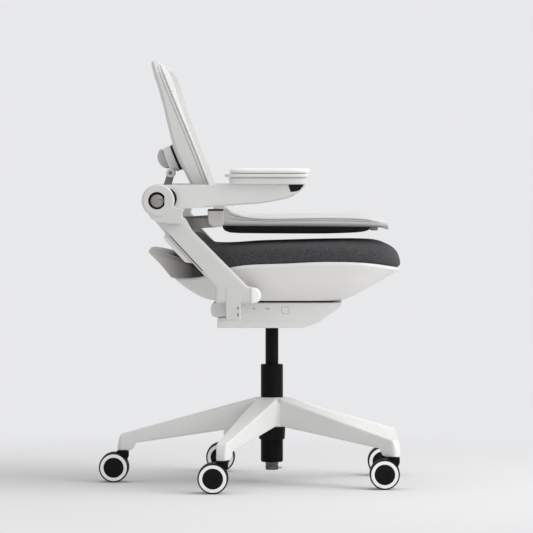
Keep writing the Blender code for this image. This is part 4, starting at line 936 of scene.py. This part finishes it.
BACKREST_AT = (0.01, 0.038, 0.052, 0.093, 0.1685, 0.262, 0.4786, 0.66, 0.805, 0.9026, 0.9643, 0.9917, 1)
BACKREST_TOP = (8, 20.5, 24, 15.5, 7, 4, 4.8, 5.5, 4.5, 1, -5, -12, -18)
BACKREST_LOW = (-16.5, -17.2, -17.3, -17.4, -17.6, -17.8, -18.2, -18.8, -19.4, -20, -21.8, -24.8, -25.6)
BACKREST_WIDTH = (1,) * 7 + (0.995, 0.985, 0.955, 0.895, 0.835, 0.785)
BACKREST_LENGTH, BACKREST_HALF = 0.3644, 0.192
PAD_FROM, PAD_TO = 0.021, 0.91
backrest_spreads = [0.92 * (k + 0.5) / 20.5 for k in range(21)] + [0.93, 0.945, 0.97]


def backrest_row(at):
    """Top, underside and share of the full width at one place along the backrest."""
    top = curve(at, BACKREST_AT, BACKREST_TOP) * 0.001
    low = curve(at, BACKREST_AT, BACKREST_LOW) * 0.001
    return top, low, float(np.interp(at, BACKREST_AT, BACKREST_WIDTH))


def backrest_loop(at):
    top, low, width = backrest_row(at)
    inside = PAD_FROM - 0.001 <= at <= PAD_TO + 0.001
    wall = 0.003

    def front(s):
        return -top + wall * max(0.0, (abs(s) - 0.9) / 0.1) ** 2

    def back(s):
        return -low - (0.008 if inside and abs(s) < 0.935 else 0.0)

    half, r = width * BACKREST_HALF, min(0.003, (top - low) * 0.2)
    under = min(0.0095, 0.6 * max(0.0005, top - low - wall - r - 0.0012))
    shallow = ease(0.05, 0.12, at) * (1 - ease(0.9, 0.97, at))
    shut = (half - r, -top + wall + r)
    face = [(s * (half - r), front(s)) for s in backrest_spreads]
    face += [(half - r + r * cos(a), shut[1] + r * sin(a)) for a in np.linspace(-QUARTER, 0.0, 6)]
    rear = []
    for a in np.linspace(0.0, QUARTER, 8):
        rear.append((half - under + under * cos(a), -low - under + under * sin(a)))
    rear += [(s * (half - under), back(s)) for s in reversed(backrest_spreads)]
    room = -low - under - shut[1]
    wide = min(0.0022, room * 0.28)
    grooves = [(shut[1] + room * share, wide, min(0.0034, wide * 1.6) * shallow) for share in (0.22, 0.68)]
    wall = ((half, shut[1] + room * 0.03), (half, -low - under - room * 0.03))
    loop = section(face, wall, grooves, rear)
    return [(FOLD[0] + BACKREST_LENGTH * at, y, FOLD[1] - d) for y, d in loop]


stops = spaced((0.01, 0.093, 16), (0.11, 0.9, 40), (0.905, 1.0, 24))
stops = sorted([at for at in stops if min(abs(at - p) for p in (PAD_FROM, PAD_TO)) > 0.004]
               + [PAD_FROM - 0.0025, PAD_FROM, PAD_TO, PAD_TO + 0.0025])
panel = work(loft([backrest_loop(at) for at in stops]))
for name, side in SIDES:
    ear = arc((0.0, 0.0), 0.0155, 100, 260, 32)
    ear = around(FOLD, ear + [(0.024, -0.0155), (0.024, 0.0155)])
    merge(panel, work(slab(ear, side, 0.168, 0.1895), 0.001, 2))
    cut(panel, peg(0.0063, side * 0.16, side * 0.202, along_y(FOLD), 40))
show(panel, shell_painted_shade, "backrest_shell", angle=42)

for name, side in SIDES:
    low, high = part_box("rest_bumper_" + name)
    spot = (low + high) / 2
    foot = rings(high.z, (4.3, 0), (4.5, -1), (4.5, -4), (4, -5.6))
    foot += [(0.003, low.z)]
    loops = [[(x, y, z) for x, y in rounded((spot.x, spot.y), r * 2, r, 4.0, 40)] for r, z in foot]
    show(work(loft(loops)), bumper_grey, "rest_bumper_" + name)

UPPER_LEAN = radians(22.6)
lean = Vector((-sin(UPPER_LEAN), 0.0, cos(UPPER_LEAN)))
facing = Vector((cos(UPPER_LEAN), 0.0, sin(UPPER_LEAN)))
UPPER_AT = (0, 0.02, 0.07, 0.2, 0.38, 0.54, 0.7, 0.83, 0.92, 0.965, 0.99, 1)
UPPER_DEPTH = (28, 32.5, 35, 38, 39.7, 34, 26.2, 21.5, 19, 16.5, 14.5, 12.5)
UPPER_FRONT = (-3.5, -3.4, -3, -1.6, 0, 1.5, 4.5, 8, 6, -0.5, -5, -6.5)
UPPER_WIDTH = (0.993, 1, 1, 1, 1, 1, 0.995, 0.975, 0.925, 0.865, 0.795, 0.735)
UPPER_HOLLOW = (20, 22, 23.5, 26.5, 28, 22.5, 15, 9.5, 5.5, 0, 0, 0)
UPPER_LENGTH, UPPER_HALF = 0.298, 0.22
RIM_SHARE = 1 - 0.017 / UPPER_HALF
PUCK_AT = 0.3327


def upper_depth(at, spread):
    return curve(at, UPPER_AT, UPPER_DEPTH) * 0.001 + 0.01 * (1 - spread * spread)


tilt_point = Vector((TILT[0], 0.0, TILT[1]))
puck_seat = tilt_point + lean * 0.0265 + facing * 0.0251
origin = puck_seat + facing * (upper_depth(PUCK_AT, 0.0) + 0.0023) - lean * (PUCK_AT * UPPER_LENGTH)
upper_spreads = [0.88 * (k + 0.5) / 18.5 for k in range(18)] + [RIM_SHARE - 0.028, RIM_SHARE - 0.018]
upper_spreads += [RIM_SHARE - 0.006, RIM_SHARE, RIM_SHARE + 0.015, 0.945]
LIP_WIDTH = 0.009


def upper_loop(at, shrink=0.0):
    half = float(np.interp(at, UPPER_AT, UPPER_WIDTH)) * UPPER_HALF - shrink
    hollow = max(0.0, curve(at, UPPER_AT, UPPER_HOLLOW) * 0.001)
    swell = curve(at, UPPER_AT, UPPER_FRONT) * 0.001
    lip = max(0.0012, 0.002 + swell) - swell
    wall = curve(at, UPPER_AT, UPPER_DEPTH) * 0.001
    inset = min(shrink, 0.3 * (wall - lip))
    lip, wall, swell = lip + inset, wall - inset, swell - inset
    lip_width = LIP_WIDTH * half / UPPER_HALF

    def front(s):
        inside = ease(0.0, 0.028, RIM_SHARE - abs(s))
        dish = 0.004 * (1 - (s / RIM_SHARE) ** 2) * inside * ease(0.0, 0.006, hollow)
        return (max(hollow, -swell) + swell) * inside - swell + dish

    face = [(s * half, front(s)) for s in upper_spreads]
    foot = half - lip_width
    for share, drop in ((-0.1, 0.0), (0.02, 0.03), (0.14, 0.14), (0.5, 0.5), (0.88, 0.86), (0.985, 0.975)):
        face.append((foot + lip_width * share, (lip + swell) * drop - swell))
    room = wall - lip
    fade = (1 - ease(0.93, 0.99, at)) * min(1.0, room / 0.01)
    grooves = []
    for at_most, share, wide, deep in ((0.003, 0.22, 0.0024, 0.0026), (0.0095, 0.52, 0.002, 0.0018)):
        grooves.append((lip + min(at_most, share * room), min(wide, 0.16 * room), deep * fade))
    r = min(0.0026, 0.2 * room)
    end = wall - r
    rear = [(half - r + r * cos(a), end + r * sin(a)) for a in np.linspace(0.0, QUARTER, 6)]
    rear += [(s * half, upper_depth(at, s) - inset) for s in [0.97] + list(reversed(upper_spreads))]
    wall = ((half, lip + min(0.0003, 0.03 * room)), (half, end - 0.02 * room))
    loop = section(face, wall, grooves, rear)
    rise = 0.45 * max(0.0, (at - 0.86) / 0.14)
    place = origin + lean * (at * UPPER_LENGTH)
    return [place - facing * d + lean * rise * d + Vector((0.0, y, 0.0)) for y, d in loop]


stops = spaced((0.0, 0.07, 8), (0.09, 0.88, 42), (0.89, 0.993, 26))
loops = [upper_loop(0.0, 0.0014)] + [upper_loop(at) for at in stops[1:]]
loops += [upper_loop(0.997, 0.0012), upper_loop(1.0, 0.0036)]
upper = work(loft(loops))
turn = facing.to_track_quat("Z", "Y").to_matrix().to_4x4()
puck_place = Matrix.Translation(puck_seat) @ turn
boss = rings(0.0, (29.8, 0.3), (31, 1), (32, 10))
merge(upper, work(turned(boss, puck_place)))
show(upper, panel_grey, "upper_shell", angle=42)

profile = rings(0.0, (22.5, -23), (25.2, -22.6), (27.2, -21.2), (28.4, -19), (29.1, -15))
profile += rings(0.0, (29.2, -7.5), (28.8, -5.6), (27.8, -4.6), (24, -4.4), (24, 0))
puck = work(turned(profile, puck_place))
for side in (1, -1):
    lug = [(r, side * h) for r, h in rings(0.0, (8.5, 12.8), (9.5, 13.6), (9.5, 23.7), (8.5, 24.5))]
    merge(puck, work(turned(lug, along_y(TILT), 48)))
notch = []
for up, back in ((-0.0125, 0.011), (-0.06, 0.011), (-0.06, 0.06), (-0.0125, 0.06)):
    corner = puck_seat + lean * up - facing * back
    notch.append((corner.x, corner.z))
cut(puck, prism(notch, -0.0128, 0.0128))
cut(puck, peg(0.0043, -0.04, 0.04, along_y(TILT), 32))
show(puck, puck_painted_light, "tilt_puck")
cap_place = Matrix.Translation(puck_seat + lean * 0.007 - facing * 0.0234) @ turn
dome = [(0.0225 * sin(a), -0.0172 * cos(a)) for a in np.linspace(0.03, pi / 2, 22)]
show(work(turned(dome, cap_place)), cap_painted_shade, "puck_cap")
# A black ring between the puck's flange and the panel: painted shadow in the gap between them.
shadow_ring = rings(0.0, (24.5, -4.3), (28, -4.3), (28.6, -3.6), (28.6, -0.4), (24.5, -0.4))
made = work(turned(shadow_ring, puck_place, ring=True))
show(made, rubber, name="look_puck_washer", on="tilt_puck")


# Cushions
FRAMES = 20
TRIM = 0.001


def stuffed(bm, voxel, cap, held):
    """Blow a closed cover up against its own cloth. held says where it is fixed; cap limits the swelling."""
    made = work(bm)
    skin = made.modifiers.new("skin", "REMESH")
    skin.mode = "VOXEL"
    skin.voxel_size = voxel
    melt = made.modifiers.new("melt", "SMOOTH")
    melt.iterations = 2
    bake(made)
    count = len(made.data.vertices)
    start = np.zeros(count * 3)
    made.data.vertices.foreach_get("co", start)
    start = start.reshape(-1, 3)
    pins = made.vertex_groups.new(name="held")
    pins.add([k for k in range(count) if held(*start[k])], 1.0, "REPLACE")
    cloth = made.modifiers.new("cloth", "CLOTH")
    cloth.settings.quality = 6
    cloth.settings.mass = 0.25
    cloth.settings.tension_stiffness = 25
    cloth.settings.compression_stiffness = 25
    cloth.settings.shear_stiffness = 10
    cloth.settings.bending_stiffness = 2
    cloth.settings.use_pressure = True
    cloth.settings.uniform_pressure_force = 4.0
    cloth.settings.effector_weights.gravity = 0.0
    cloth.settings.vertex_group_mass = "held"
    cloth.point_cache.frame_end = FRAMES
    for step in range(1, FRAMES + 1):
        scene.frame_set(step)
    bake(made)
    scene.frame_set(1)
    made.vertex_groups.clear()
    moved = np.zeros(count * 3)
    made.data.vertices.foreach_get("co", moved)
    shift = moved.reshape(-1, 3) - start
    size = np.linalg.norm(shift, axis=1, keepdims=True)
    shift = shift * np.minimum(1.0, cap / np.maximum(size, 1e-9))
    made.data.vertices.foreach_set("co", (start + shift).ravel())
    made.data.update()
    return made


def evened(made):
    made.modifiers.new("even", "SUBSURF").render_levels = 1
    return bake(made)


def cushion_loop(scale, share, crown_rise):
    """Loop round the cushion, from the rim's height at share 0 to its top at share 1."""
    loop = []
    for x, y in seat_outline(scale, TRIM, 120):
        low = seat_rim(x) + FIT
        loop.append((x, y, low + (seat_top(x) + crown_rise - TRIM - low) * share))
    return loop


RINGS = ((0.982, 0.0), (0.992, 0.05), (0.998, 0.14), (1.0, 0.26), (1.0, 0.38), (0.995, 0.52))
RINGS += ((0.985, 0.66), (0.969, 0.78), (0.942, 0.87), (0.905, 0.925), (0.86, 0.96), (0.8, 0.982))
RINGS += ((0.74, 0.997), (0.66, 1.0), (0.5, 1.0), (0.3, 1.0), (0.1, 1.0))
loops = [cushion_loop(scale, 0.0, 0.0) for scale in (0.12, 0.4, 0.7, 0.9)]
loops += [cushion_loop(scale, share, 0.004 * (1 - scale)) for scale, share in RINGS]
cushion = stuffed(loft(loops), 0.0042, 0.0018, lambda x, y, z: z < seat_rim(x) + 0.006)
show(evened(cushion), fabric, "seat_cushion", angle=75)

pad_mid = FOLD[0] + (PAD_FROM + PAD_TO) / 2 * BACKREST_LENGTH
pad_half = (PAD_TO - PAD_FROM) / 2 * BACKREST_LENGTH - 0.0015
pad_wide = 0.925 * backrest_row(PAD_TO)[2] * BACKREST_HALF - 0.0015
RINGS = ((0.11, 0.0), (0.06, 0.0), (0.02, 0.0), (0.0025, 0.0), (0.0008, 0.08), (0.0, 0.22), (0.0002, 0.45))
RINGS += ((0.001, 0.62), (0.0024, 0.76), (0.0046, 0.87), (0.008, 0.93), (0.014, 0.965), (0.03, 0.985))
RINGS += ((0.07, 1.0), (0.12, 1.0))
loops = []
for inset, share in RINGS:
    loop = []
    for x, y in rounded((pad_mid, 0.0), pad_half - inset, pad_wide - inset, 9.0, 160):
        at = (x - FOLD[0]) / BACKREST_LENGTH
        high = FOLD[1] + backrest_row(at)[1] + 0.0074
        thick = 0.0225 - 0.0045 * ease(0.55, 0.95, at)
        loop.append((x, y, high - thick * share))
    loops.append(loop)
pad_top = FOLD[1] - 0.018
pad = stuffed(loft(loops), 0.005, 0.0015, lambda x, y, z: z > pad_top)
show(evened(pad), pad_painted_shade, "backrest_pad", angle=75)

# Finishes of the nodes that are shown as they are
for node, look in (("seat_plate", black_plastic), ("lift_bearing", steel)):
    kept = frame["nodes"][node]
    kept.data.materials.clear()
    kept.data.materials.append(look)

# Studio
PAPER = (0.805, 0.81, 0.825, 1.0)


def floor_finish():
    made = bpy.data.materials.new("paper")
    made.use_nodes = True
    tree = made.node_tree
    shader = tree.nodes["Principled BSDF"]
    fill(shader, {"Base Color": (0.74, 0.74, 0.74, 1.0), "Roughness": 0.9, "Specular IOR Level": 0.1})
    place = fresh(tree, "TexCoord")
    length = fresh(tree, "VectorMath", "LENGTH")
    wire(place.outputs["Object"], length.inputs[0])
    fade = span(tree, length.outputs["Value"], 0.0, 1.0, 0.55, 1.7)
    fade.node.interpolation_type = "SMOOTHSTEP"
    glow = fill(fresh(tree, "Emission"), {"Color": PAPER})
    blend(tree, fade, shader.outputs["BSDF"], glow.outputs["Emission"], "Material Output")
    return made


sheet = bmesh.new()
bmesh.ops.create_circle(sheet, cap_ends=True, segments=96, radius=60.0)
mesh = bpy.data.meshes.new("floor")
sheet.to_mesh(mesh)
sheet.free()
mesh.materials.append(floor_finish())
add("floor", mesh)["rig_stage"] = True

world = bpy.data.worlds.new("studio")
world.use_nodes = True
scene.world = world
tree = world.node_tree
soft = fill(tree.nodes["Background"], {"Color": (1.0, 1.0, 1.0, 1.0), "Strength": 0.52})
paper = fill(fresh(tree, "Background"), {"Color": PAPER})
rays = fresh(tree, "LightPath")
seen = maths(tree, "MAXIMUM", rays.outputs["Is Camera Ray"], rays.outputs["Is Glossy Ray"])
blend(tree, seen, soft.outputs["Background"], paper.outputs["Background"], "World Output")


def lamp(name, place, target, size, power):
    data = bpy.data.lights.new(name, "AREA")
    data.shape = "DISK"
    data.size = size
    data.energy = power
    aim(add(name, data), place, target)


lamp("key", (3.0, -0.9, 3.6), (0.0, 0.0, 0.4), 4.6, 110.0)
lamp("top", (0.0, 0.0, 4.4), (0.0, 0.0, 0.0), 4.0, 43.0)
lamp("front", (4.0, -2.5, 1.7), (0.0, 0.0, 0.45), 2.4, 60.0)

# Camera
PICTURE, PIXEL = 533, 0.00216
eye = Vector((LIFT + 0.1169, -8.7, 0.696))
target = Vector((LIFT - 0.0117, 0.0, 0.466))
view = bpy.data.cameras.new("camera")
view.sensor_width = 36.0
view.lens = view.sensor_width * (target - eye).length / (PIXEL * PICTURE)
view.clip_end = 200.0
scene.camera = add("camera", view)
aim(scene.camera, eye, target)
scene.view_settings.view_transform = "Standard"

low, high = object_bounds()
